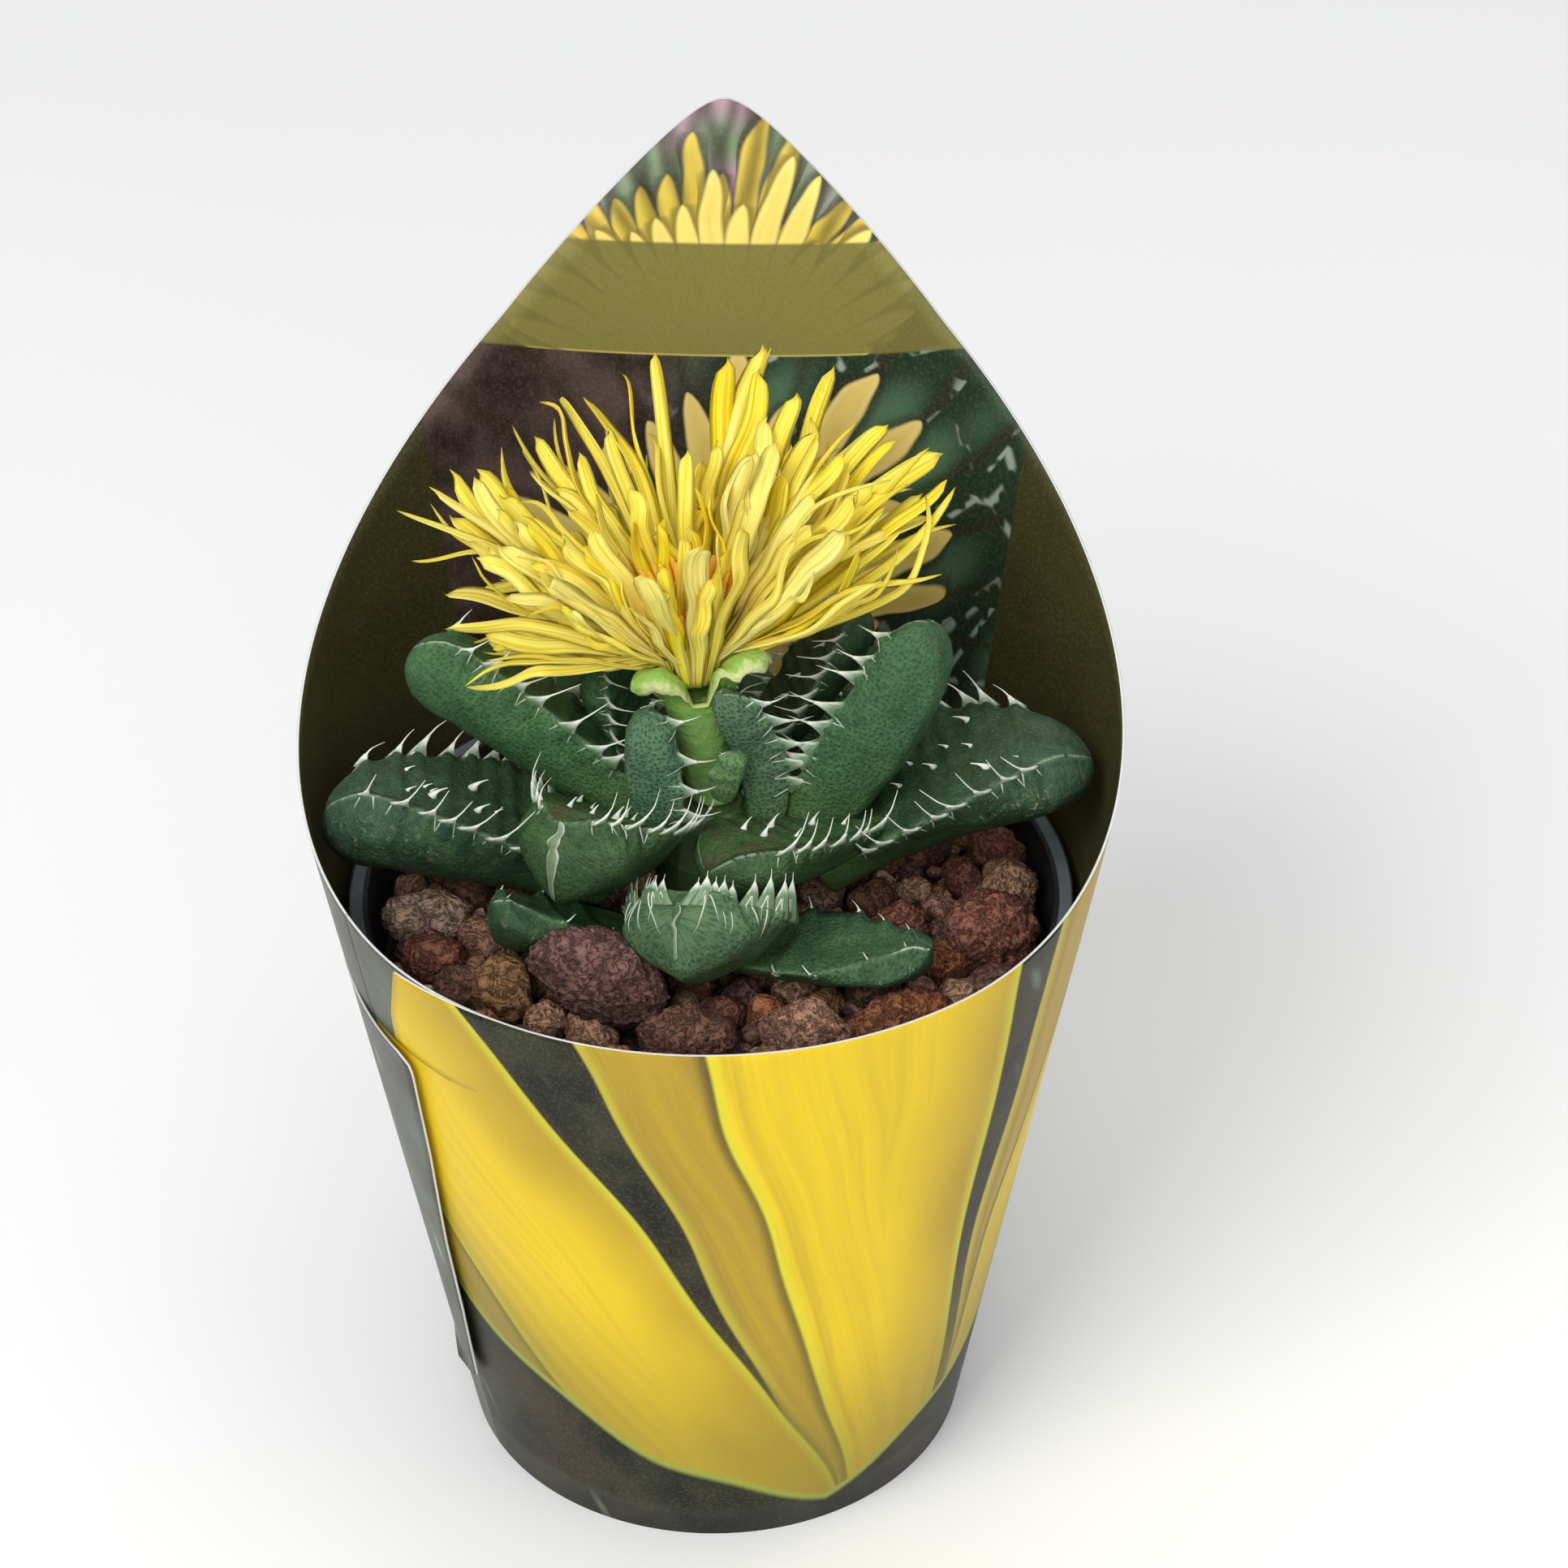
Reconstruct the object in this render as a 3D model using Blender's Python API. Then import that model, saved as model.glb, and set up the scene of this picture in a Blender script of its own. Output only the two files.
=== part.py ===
"""A small faucaria in flower: a rosette of thick toothed leaves and one yellow bloom, growing in gravel
in a round plastic pot that stands in a conical card sleeve with a tall pointed back.

Metres, +Z up. The origin is on the floor under the middle of the pot, and +Y points to the sleeve's tip.
"""
import math
import random

import bmesh
import bpy
from mathutils import Matrix, Vector
from mathutils.bvhtree import BVHTree

MM = 0.001
GAP = 0.3 * MM
UP = Vector((0, 0, 1))
GOLDEN_ANGLE = 137.5

# Pot: a thin moulded cone with a proud rim and six drain holes in its flat floor
POT_HEIGHT = 49.0 * MM
POT_FOOT_RADIUS = 19.0 * MM
POT_TOP_RADIUS = 27.0 * MM
POT_WALL = 0.8 * MM
POT_RIM_RADIUS = 27.6 * MM
POT_RIM_HEIGHT = 2.0 * MM
POT_FLOOR = 1.0 * MM
DRAIN_RADIUS = 2.2 * MM
DRAIN_CIRCLE = 11.0 * MM
DRAINS = 6
DRAIN_SIDES = 10
POT_SIDES = 64

# Sleeve: one card wrapped into a cone, with a low lip in front and a tall rounded tip behind.
# Azimuths are in degrees from +Y towards +X. The lap and the tab are the card's second layer at the
# closure: each leaves the cone slowly from its root to a free edge, given by its azimuths below and above.
CARD = 0.5 * MM
SLEEVE_FOOT_RADIUS = 20.0 * MM
SLEEVE_SLOPE = 0.176
SLEEVE_LIP = 56.7 * MM
SLEEVE_TIP = 97.0 * MM
TIP_AZIMUTH = 2.7
RISE_SPREAD = 140.0
RISE_POWER = 1.95
TIP_ROUNDING = 4.0
SLEEVE_COLUMNS = 90
LAP_EDGE = (-122.2, -129.0)
LAP_WIDTH = 24.0
LAP_FOOT = 9.5 * MM
LAP_TOP = 47.3 * MM
LAP_COLUMNS = 8
LAP_ROOT = 0.08
TAB_EDGE = (-125.0, -131.0)

# Soil and gravel, which leave a plain hole for the stem
SOIL_TOP = 42.5 * MM
GRAVEL_FLOOR = SOIL_TOP + GAP
GRAVEL_BED = 45.8 * MM
FILL_SIDES = 32
STEM_HOLE = 3.4 * MM
GRAVEL_SEED = 7

# Stem: the short thick shoot that the leaves sit against, as radii and heights in millimetres
STEM_PROFILE = ((2.4, 36.5), (3.0, 40.0), (3.0, 47.0), (3.8, 50.0), (4.0, 53.0), (3.2, 56.0), (2.4, 57.2))
STEM_SIDES = 14

# Bloom: a stalk with a fleshy calyx, then petals round a tuft of stamens
STALK_FOOT = Vector((0.2, 0.6, 57.5)) * MM
BLOOM_SEAT = Vector((-1.2, 0.8, 68.6)) * MM
BLOOM_LEAN_BACK = 14.0
BLOOM_LEAN_LEFT = 3.0
BLOOM_SEED = 12
CALYX_RINGS = ((0, 1.8), (0.35, 1.9), (0.65, 2.35), (0.85, 2.8), (1.0, 3.4))
CALYX_SIDES = 14
LOBES = ((-125, 60, 4.2), (-55, 64, 4.6), (0, 62, 4.6), (52, 62, 9.0), (112, 58, 5.0))
LOBE_WIDTH = 3.6 * MM
LOBE_THICKNESS = 1.5 * MM
LOBE_START = 2.2 * MM
LOBE_RISE = -1.3 * MM
LOBE_CURL = -12
PETAL_RING = 2.9 * MM
PETAL_RING_TOP = 3.1 * MM
PETAL_RING_SIDES = 16
PETAL_THICKNESS = 0.64 * MM
BLADE_BREADTHS = ((0.0, 0.5), (0.35, 0.75), (0.75, 1.0), (0.94, 0.7))
TUFT_RINGS = ((1.9, 0.3), (2.0, 1.1), (1.3, 2.1), (0.5, 2.6))
TUFT_SIDES = 10
THREADS = 18
THREAD_ROOT = 0.8 * MM
THREAD_RADII = ((0.0, 0.3), (0.8, 0.36))

# Petals: azimuth and opening angle in degrees, then length and width in millimetres. The last rows are the
# low ones behind. The lobes above are an azimuth, an opening angle and a length.
PETALS = (
    (-88, 54, 21.7, 1.0), (-81, 52, 20.9, 1.2), (-73, 50, 20.1, 1.7), (-69, 49, 19.2, 1.8),
    (-72, 47, 16.1, 1.8), (-56, 47, 20.8, 1.5), (-43, 43, 22.5, 1.0), (-45, 46, 20.9, 0.6),
    (-31, 43, 22.3, 1.2), (-25, 41, 22.4, 1.4), (-16, 41, 22.7, 1.0), (-8, 39, 22.9, 1.3),
    (-45, 43, 19.4, 1.3), (-111, 59, 14.5, 1.9), (-101, 73, 16.2, 1.3), (-98, 47, 15.4, 1.9),
    (-82, 52, 18.0, 1.7), (-95, 50, 14.9, 1.8), (-99, 55, 16.4, 1.5), (-88, 40, 14.0, 1.7),
    (18, 41, 23.5, 1.9), (13, 38, 22.0, 1.8), (24, 39, 21.6, 1.7), (37, 33, 16.7, 1.7),
    (42, 43, 22.6, 1.4), (53, 46, 20.8, 1.1), (57, 47, 20.3, 1.4), (63, 49, 20.6, 1.4),
    (73, 53, 21.9, 1.7), (76, 51, 19.5, 0.9), (84, 56, 20.8, 1.4), (88, 59, 20.9, 1.0),
    (96, 54, 20.4, 0.8), (106, 67, 17.6, 0.9), (112, 45, 14.4, 2.2), (61, 23, 15.1, 1.9),
    (51, 20, 13.0, 1.7), (84, 30, 13.2, 1.5), (142, 24, 11.2, 1.7), (124, 14, 11.6, 1.6),
    (168, 28, 11.6, 1.9), (-165, 41, 11.4, 1.9), (-176, 8, 11.0, 1.1), (-162, 14, 11.5, 1.2),
    (137, -4, 12.4, 1.2), (107, 2, 11.1, 1.3), (2, 5, 12.9, 1.3), (13, 23, 14.3, 1.3),
    (-28, 32, 17.1, 1.4), (-47, 34, 15.5, 1.3), (-51, 12, 11.8, 1.4), (-84, 18, 11.5, 1.2),
    (50, 37, 17.7, 1.7), (68, 38, 16.3, 1.7), (85, 41, 15.4, 1.6), (36, 38, 20.0, 1.6),
    (96, 53, 17.0, 1.3), (79, 48, 17.3, 1.5), (-120, 49, 12.4, 1.6), (-110, 30, 11.6, 1.6),
    (-75, 74, 16.5, 1.6), (-62, 68, 18.0, 1.7), (-44, 72, 17.5, 1.7), (-28, 66, 18.5, 1.7),
    (-10, 70, 18.0, 1.7), (8, 72, 17.5, 1.7), (24, 67, 18.5, 1.7), (42, 71, 18.0, 1.7), (60, 66, 17.5, 1.7),
)
PETAL_LEAST_WIDTH = 1.2

# Leaves, inner ones first: where the shoot end and the tip lie, then width and depth, in millimetres.
# Roll turns the upper face about the leaf's length, in degrees, and arch lifts its middle.
# Broad is where along the leaf the upper face is widest, and taper is how much of it is left at the tip.
LEAVES = (
    dict(name="leaf_bud", base=(0.6, -3.6, 56.2), tip=(0.6, -4.2, 62.0), width=3.4, depth=2.4, teeth=2),
    dict(name="leaf_inner_left", base=(-3.2, -2.5, 56.0), tip=(-3.5, -2.6, 67.8), width=5.2, depth=3.3,
         roll=-20, arch=-0.3, teeth=4),
    dict(name="leaf_inner_right", base=(4.4, -0.5, 56.2), tip=(1.9, -2.6, 69.4), width=4.4, depth=3.1,
         roll=-4, arch=1.2, broad=0.5, taper=0.55, teeth=5),
    dict(name="leaf_rising_left", base=(-3.6, 0.7, 56.8), tip=(-20.4, 5.2, 70.0), width=8.2, depth=6.1,
         roll=-24, arch=0.9, teeth=7),
    dict(name="leaf_rising_right", base=(7.3, 1.1, 54.7), tip=(15.4, 1.6, 73.2), width=8.7, depth=4.3,
         roll=60, arch=-1.2, taper=0.5, teeth=7),
    dict(name="leaf_behind_left", base=(-4.0, 5.2, 55.6), tip=(-6.9, 6.3, 66.2), width=6.8, depth=3.5,
         arch=-0.6, taper=0.5, teeth=5),
    dict(name="leaf_behind_right", base=(2.9, 6.0, 56.6), tip=(10.4, 8.6, 69.4), width=8.6, depth=3.6,
         roll=15, broad=0.55, taper=0.6, teeth=6),
    dict(name="leaf_front_left", base=(-5.0, 0.0, 56.1), tip=(-10.9, -8.6, 62.2), width=11.4, depth=6.8,
         roll=-5, taper=0.5, teeth=6),
    dict(name="leaf_front_right", base=(12.0, 1.3, 56.0), tip=(-0.3, -7.2, 58.2), width=10.8, depth=5.2,
         roll=-14, broad=0.5, taper=0.55, teeth=6),
    dict(name="leaf_mouth", base=(1.5, -5.8, 50.6), tip=(-2.5, -12.7, 59.2), width=12.2, depth=6.1,
         roll=-15, arch=-0.4, broad=0.5, taper=0.5, teeth=7),
    dict(name="leaf_left", base=(-7.2, -0.6, 53.4), tip=(-27.5, -2.0, 61.4), width=11.2, depth=8.0,
         roll=-3, arch=1.1, broad=0.4, taper=0.35, teeth=7),
    dict(name="leaf_right", base=(7.9, 1.4, 52.4), tip=(27.4, 1.5, 62.1), width=12.2, depth=7.4,
         roll=-6, arch=2.4, taper=0.4, teeth=7),
    dict(name="leaf_back_left", base=(-4.0, 5.5, 51.5), tip=(-14.5, 17.5, 60.5), width=10.6, depth=6.4,
         arch=0.8, teeth=5),
    dict(name="leaf_back_right", base=(5.0, 6.5, 51.0), tip=(14.5, 18.5, 59.0), width=10.6, depth=6.4,
         arch=0.8, teeth=5),
    dict(name="leaf_back", base=(0.6, 8.0, 54.0), tip=(-1.0, 22.0, 61.0), width=10.0, depth=6.2,
         arch=0.8, teeth=5),
    dict(name="leaf_low_right", base=(2.2, -8.2, 50.0), tip=(15.5, -13.4, 53.0), width=8.8, depth=3.2,
         roll=4, arch=-0.2, taper=0.4, teeth=5),
    dict(name="leaf_low_left", base=(-7.4, -7.2, 50.1), tip=(-14.7, -11.2, 56.4), width=8.2, depth=3.8,
         roll=-16, arch=-0.4, taper=0.4, teeth=5),
)
LEAF_STATIONS = (0.0, 0.14, 0.32, 0.5, 0.66, 0.8, 0.9, 0.96, 0.99)
TOOTH_LENGTH = 3.2 * MM
TOOTH_WIDTH = 1.5 * MM
TOOTH_THICKNESS = 0.8 * MM
TOOTH_INSET = 0.7 * MM
TOOTH_SINK = 0.6 * MM
TUBERCLE_HEIGHT = 0.9 * MM
TUBERCLE_SINK = 0.9 * MM
TUBERCLE_RADIUS = 0.55 * MM

# Pebbles that lie in sight: place, then length, breadth and height, and the turn of the length
PEBBLES = (
    (-21.6, 0.0, 7.2, 4.8, 4.0, 10), (-17.4, -3.0, 4.2, 3.8, 3.6, 30), (-20.4, -6.4, 5.6, 4.8, 4.4, -30),
    (-16.0, -9.6, 5.4, 5.0, 4.6, 20), (-12.6, -13.4, 3.6, 3.4, 3.4, 0), (-9.4, -15.6, 4.4, 3.4, 3.4, -20),
    (-9.8, -12.0, 8.6, 5.4, 5.6, -35), (-2.4, -16.8, 8.0, 5.2, 4.6, -8), (6.4, -17.4, 8.4, 5.4, 4.6, 8),
    (13.6, -15.8, 7.4, 4.8, 4.6, 16), (18.2, -11.6, 4.6, 4.4, 4.2, 40), (21.2, -4.4, 7.6, 6.4, 6.4, 60),
    (15.4, -3.2, 4.2, 4.0, 4.0, 0), (18.2, 0.8, 3.8, 3.4, 3.8, 20), (23.4, 3.4, 4.2, 4.0, 4.0, 10),
    (22.6, 8.4, 4.8, 4.4, 4.4, -15),
)
SMALL_PEBBLES = 42
PEBBLE_LEVEL = 47.2 * MM


def clear_scene():
    for item in list(bpy.data.objects):
        bpy.data.objects.remove(item, do_unlink=True)


def make_material(name, colour, roughness, metallic=0.0):
    material = bpy.data.materials.new(name)
    material.use_nodes = True
    shader = material.node_tree.nodes["Principled BSDF"]
    shader.inputs["Base Color"].default_value = (*colour, 1.0)
    shader.inputs["Roughness"].default_value = roughness
    shader.inputs["Metallic"].default_value = metallic
    material.diffuse_color = (*colour, 1.0)
    return material


def add_object(name, mesh, material=None):
    body = bpy.data.objects.new(name, mesh)
    bpy.context.collection.objects.link(body)
    if material:
        mesh.materials.clear()
        mesh.materials.append(material)
    return body


def closed_mesh(name, points, faces):
    """Builds a closed mesh and turns its faces outwards."""
    work = bmesh.new()
    corners = [work.verts.new(point) for point in points]
    for face in faces:
        work.faces.new([corners[index] for index in face])
    bmesh.ops.recalc_face_normals(work, faces=work.faces)
    bmesh.ops.triangulate(work, faces=[face for face in work.faces if len(face.verts) > 4])
    mesh = bpy.data.meshes.new(name)
    work.to_mesh(mesh)
    work.free()
    return mesh


def loft(name, rings, point=None):
    """Skins a row of equal rings; the far end closes on a point, or flat where there is none."""
    count = len(rings[0])
    points = [corner for ring in rings for corner in ring]
    faces = [tuple(range(count))]
    for row in range(len(rings) - 1):
        for index in range(count):
            after = (index + 1) % count
            low = row * count
            faces.append((low + index, low + after, low + count + after, low + count + index))
    last = (len(rings) - 1) * count
    if point is None:
        faces.append(tuple(range(last, last + count)))
    else:
        points.append(point)
        faces += [(last + index, last + (index + 1) % count, len(points) - 1) for index in range(count)]
    return closed_mesh(name, points, faces)


def turned(name, profile, sides, closed_on_itself=False):
    """Turns a profile of (radius, height) points about Z; a shell's profile closes on itself."""
    rings = []
    for radius, height in profile:
        angles = [2 * math.pi * step / sides for step in range(sides)]
        rings.append([Vector((radius * math.cos(a), radius * math.sin(a), height)) for a in angles])
    if not closed_on_itself:
        return loft(name, rings)
    points = [corner for ring in rings for corner in ring]
    faces = []
    for row in range(len(rings)):
        low = row * sides
        high = ((row + 1) % len(rings)) * sides
        for index in range(sides):
            after = (index + 1) % sides
            faces.append((low + index, low + after, high + after, high + index))
    return closed_mesh(name, points, faces)


def apply_modifiers(body):
    graph = bpy.context.evaluated_depsgraph_get()
    mesh = bpy.data.meshes.new_from_object(body.evaluated_get(graph))
    body.modifiers.clear()
    old = body.data
    body.data = mesh
    bpy.data.meshes.remove(old)


def combine(body, others, operation, solver="EXACT"):
    """One Boolean of the body with several others, which are used up by it."""
    if not others:
        return
    group = bpy.data.collections.new("operands")
    bpy.context.scene.collection.children.link(group)
    for other in others:
        bpy.context.collection.objects.unlink(other)
        group.objects.link(other)
    boolean = body.modifiers.new("combine", "BOOLEAN")
    boolean.operation = operation
    boolean.operand_type = "COLLECTION"
    boolean.collection = group
    boolean.solver = solver
    apply_modifiers(body)
    for other in others:
        bpy.data.objects.remove(other, do_unlink=True)
    bpy.data.collections.remove(group)


def shells_of(work):
    """The closed skins of a mesh, each a set of faces that meet along edges."""
    waiting = set(work.faces)
    shells = []
    while waiting:
        shell = set()
        front = [waiting.pop()]
        while front:
            face = front.pop()
            shell.add(face)
            plain = [edge for edge in face.edges if len(edge.link_faces) == 2]
            for other in (other for edge in plain for other in edge.link_faces):
                if other in waiting:
                    waiting.discard(other)
                    front.append(other)
        shells.append(shell)
    return shells


def shell_volume(shell):
    total = 0.0
    for face in shell:
        first, second, third = (vertex.co for vertex in face.verts)
        total += first.dot(second.cross(third)) / 6
    return total


def keep_largest(body):
    """Drops loose scraps and fills sealed hollows: only the skin with the most volume stays."""
    work = bmesh.new()
    work.from_mesh(body.data)
    bmesh.ops.triangulate(work, faces=work.faces)
    shells = sorted(shells_of(work), key=shell_volume)
    scraps = [face for shell in shells[:-1] for face in shell]
    bmesh.ops.delete(work, geom=scraps, context="FACES")
    work.to_mesh(body.data)
    work.free()


def grown_mesh(mesh, amount):
    """A copy of a mesh, swollen along its own normals."""
    work = bmesh.new()
    work.from_mesh(mesh)
    work.normal_update()
    moves = [vertex.normal * amount for vertex in work.verts]
    for vertex, move in zip(work.verts, moves):
        vertex.co += move
    copy = bpy.data.meshes.new("grown")
    work.to_mesh(copy)
    work.free()
    return copy


def boxes_meet(first, second, margin):
    for axis in range(3):
        lows = [min(vertex.co[axis] for vertex in mesh.vertices) for mesh in (first, second)]
        highs = [max(vertex.co[axis] for vertex in mesh.vertices) for mesh in (first, second)]
        if lows[0] > highs[1] + margin or lows[1] > highs[0] + margin:
            return False
    return True


def cut_clear(body, neighbours):
    """Cuts the body back where it would meet its neighbours, and leaves a gap to them."""
    cutters = []
    for mesh in neighbours:
        if boxes_meet(body.data, mesh, 2 * GAP):
            cutters.append(add_object("cutter", grown_mesh(mesh, 1.5 * GAP)))
    if cutters:
        combine(body, cutters, "DIFFERENCE")
        keep_largest(body)


def tree_of(mesh):
    work = bmesh.new()
    work.from_mesh(mesh)
    bmesh.ops.triangulate(work, faces=work.faces)
    tree = BVHTree.FromBMesh(work)
    work.free()
    return tree


def is_inside(point, tree):
    """Counts the faces above a point: an odd number means that it lies inside the body."""
    slant = Vector((0.11, 0.07, 1.0)).normalized()
    hits = 0
    place = point
    while hits < 40:
        place = tree.ray_cast(place, slant)[0]
        if place is None:
            break
        place = place + slant * 0.001 * MM
        hits += 1
    return hits % 2 == 1


def is_clear(mesh, trees):
    """True where a small mesh neither crosses nor lies inside any of the bodies."""
    small = tree_of(grown_mesh(mesh, GAP))
    for tree in trees:
        if small.overlap(tree):
            return False
        if is_inside(mesh.vertices[0].co, tree):
            return False
    return True


def sleeve_radius(height):
    return SLEEVE_FOOT_RADIUS + SLEEVE_SLOPE * height


def sleeve_edge(azimuth):
    """Height of the sleeve's upper edge at an azimuth in degrees from +Y towards +X."""
    turn = (azimuth - TIP_AZIMUTH + 180) % 360 - 180
    away = math.hypot(turn, TIP_ROUNDING) - TIP_ROUNDING * max(0.0, 1 - abs(turn) / 30)
    rise = max(0.0, 1 - away / RISE_SPREAD) ** RISE_POWER
    return SLEEVE_LIP + (SLEEVE_TIP - SLEEVE_LIP) * rise


def on_cone(azimuth, height, proud=0.0):
    radius = sleeve_radius(height) + proud
    angle = math.radians(azimuth)
    return Vector((radius * math.sin(angle), radius * math.cos(angle), height))


def make_sleeve(material):
    azimuths = [TIP_AZIMUTH + 360.0 * step / SLEEVE_COLUMNS for step in range(SLEEVE_COLUMNS)]
    points = []
    for azimuth in azimuths:
        top = sleeve_edge(azimuth)
        points += [on_cone(azimuth, 0.0), on_cone(azimuth, top)]
        points += [on_cone(azimuth, top, -CARD), on_cone(azimuth, 0.0, -CARD)]
    faces = []
    for column in range(SLEEVE_COLUMNS):
        here = column * 4
        there = (column + 1) % SLEEVE_COLUMNS * 4
        for corner in range(4):
            after = (corner + 1) % 4
            faces.append((here + corner, there + corner, there + after, here + after))
    sleeve = add_object("sleeve", closed_mesh("sleeve", points, faces), material)
    combine(sleeve, [make_lap(), make_tab()], "UNION")
    return sleeve


def lap_strip(name, edge, low, high, spread):
    """A strip of the card's second layer: its free edge stands proud, and it fades into the cone."""
    rings = []
    for step in range(LAP_COLUMNS + 1):
        part = step / LAP_COLUMNS
        proud = CARD * (1 - (1 - LAP_ROOT) * part)
        ring = []
        for height, azimuth in ((low, edge[0]), (high, edge[1])):
            turn = azimuth + spread * part
            outer = on_cone(turn, height, proud)
            inner = on_cone(turn, height, -CARD / 2)
            ring += [inner, outer] if height == low else [outer, inner]
        rings.append(ring)
    return add_object(name, loft(name, rings))


def make_lap():
    return lap_strip("lap", LAP_EDGE, LAP_FOOT, LAP_TOP, LAP_WIDTH)


def make_tab():
    return lap_strip("tab", TAB_EDGE, LAP_TOP + GAP, SLEEVE_LIP, -LAP_WIDTH)


def wall_radius(height):
    return POT_FOOT_RADIUS + (POT_TOP_RADIUS - POT_FOOT_RADIUS) * height / POT_HEIGHT


def make_pot(material):
    rim_foot = POT_HEIGHT - POT_RIM_HEIGHT
    profile = (
        (POT_FOOT_RADIUS, 0.0),
        (wall_radius(rim_foot), rim_foot),
        (POT_RIM_RADIUS, rim_foot + 0.3 * MM),
        (POT_RIM_RADIUS, POT_HEIGHT),
        (wall_radius(POT_HEIGHT) - POT_WALL, POT_HEIGHT),
        (wall_radius(POT_FLOOR) - POT_WALL, POT_FLOOR),
    )
    pot = add_object("pot", turned("pot", profile, POT_SIDES), material)
    drains = []
    for step in range(DRAINS):
        angle = 2 * math.pi * (step + 0.5) / DRAINS
        outline = ((DRAIN_RADIUS, -POT_FLOOR), (DRAIN_RADIUS, 2 * POT_FLOOR))
        drain = add_object("drain", turned("drain", outline, DRAIN_SIDES))
        drain.location = (DRAIN_CIRCLE * math.cos(angle), DRAIN_CIRCLE * math.sin(angle), 0.0)
        drains.append(drain)
    bpy.context.view_layer.update()
    combine(pot, drains, "DIFFERENCE")
    return pot


def fill_radius(height):
    """How far a filling reaches: to the pot's wall, less the gap."""
    return wall_radius(height) - POT_WALL - GAP


def make_soil(material):
    low = POT_FLOOR + GAP
    hole_floor = STEM_PROFILE[0][1] * MM - GAP
    profile = (
        (fill_radius(low), low),
        (fill_radius(SOIL_TOP), SOIL_TOP),
        (STEM_HOLE, SOIL_TOP),
        (STEM_HOLE, hole_floor),
    )
    return add_object("soil", turned("soil", profile, FILL_SIDES), material)


def make_stem(material):
    profile = [(radius * MM, height * MM) for radius, height in STEM_PROFILE]
    return add_object("stem", turned("stem", profile, STEM_SIDES), material)


def leaf_axes(leaf):
    """The leaf's length, upper-face normal and side, turned by its roll."""
    base = Vector(leaf["base"]) * MM
    tip = Vector(leaf["tip"]) * MM
    along = (tip - base).normalized()
    face = (UP - UP.dot(along) * along).normalized()
    side = face.cross(along)
    roll = Matrix.Rotation(-math.radians(leaf.get("roll", 0)), 3, along)
    return base, tip, along, roll @ face, roll @ side


def rounded_end(part, start):
    """1 along the leaf, falling as a quarter circle to 0 at its end."""
    return math.sqrt(max(0.0, 1 - max(0.0, (part - start) / (1 - start)) ** 2.2))


def face_half_width(leaf, part):
    broad = leaf.get("broad", 0.45)
    taper = leaf.get("taper", 0.45)
    if part < broad:
        shape = 0.7 + 0.3 * math.sin(math.pi / 2 * part / broad)
    else:
        shape = 1 - (1 - taper) * min(1.0, (part - broad) / (0.93 - broad)) ** 1.3
    return leaf["width"] / 2 * MM * shape * rounded_end(part, 0.82)


def belly_half_width(leaf, part):
    swell = 0.75 + 0.25 * math.sin(math.pi / 2 * min(1.0, part / 0.6))
    return 0.43 * leaf["width"] * MM * swell * rounded_end(part, 0.74)


def leaf_point(leaf, part, across, down):
    """A point of the leaf: across in side lengths, down from the upper face's plane."""
    base, tip, along, face, side = leaf_axes(leaf)
    lift = leaf.get("arch", 0.0) * MM * 4 * part * (1 - part)
    middle = base.lerp(tip, part) + face * lift
    return middle + side * across - face * down


def leaf_heights(leaf, part):
    """How far the upper face and the keel lie below the face's plane; both round off at the chin."""
    depth = leaf["depth"] * MM
    swell = 0.68 + 0.32 * math.sin(math.pi / 2 * min(1.0, part / 0.75))
    top = 0.42 * depth * (1 - rounded_end(part, 0.82))
    keel = depth * swell * (0.42 + 0.58 * rounded_end(part, 0.8))
    return top, keel


def leaf_ring(leaf, part):
    top, keel = leaf_heights(leaf, part)
    edge = face_half_width(leaf, part)
    belly = max(belly_half_width(leaf, part), 0.8 * edge)
    dish = 0.05 * leaf["width"] * MM * (1 - part)
    thick = keel - top
    section = (
        (edge, 0.0), (belly, 0.34), (0.72 * belly, 0.7), (0.0, 1.0),
        (-0.72 * belly, 0.7), (-belly, 0.34), (-edge, 0.0),
    )
    ring = [leaf_point(leaf, part, across, top + down * thick) for across, down in section]
    ring.append(leaf_point(leaf, part, 0.0, top + dish))
    return ring


def make_leaf_body(leaf, material):
    rings = [leaf_ring(leaf, part) for part in LEAF_STATIONS]
    top, keel = leaf_heights(leaf, 1.0)
    end = leaf_point(leaf, 1.0, 0.0, (top + keel) / 2)
    return add_object(leaf["name"], loft(leaf["name"], rings, end), material)


def spike(name, root, middle, point, wide, thin):
    """A three-sided curved spike; wide and thin are its half sizes at the root, as vectors."""
    rings = []
    for centre, scale in ((root, 1.0), (middle, 0.45)):
        rings.append([centre + scale * offset for offset in (wide, -wide + thin, -wide - thin)])
    return loft(name, rings, point)


def tooth_mesh(leaf, part, hand, length):
    """One margin tooth: it leaves the margin outwards and curls up and back over the leaf."""
    base, tip, along, face, side = leaf_axes(leaf)
    top, keel = leaf_heights(leaf, part)
    edge = face_half_width(leaf, part)
    outward = side * hand
    root = leaf_point(leaf, part, hand * (edge - TOOTH_INSET), top + TOOTH_SINK)
    middle = root + (outward * 0.55 + face * 0.5 - along * 0.05) * length
    point = middle + (face * 0.42 - along * 0.4 - outward * 0.05) * length
    return spike("tooth", root, middle, point, along * TOOTH_WIDTH / 2, outward * TOOTH_THICKNESS / 2)


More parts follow.
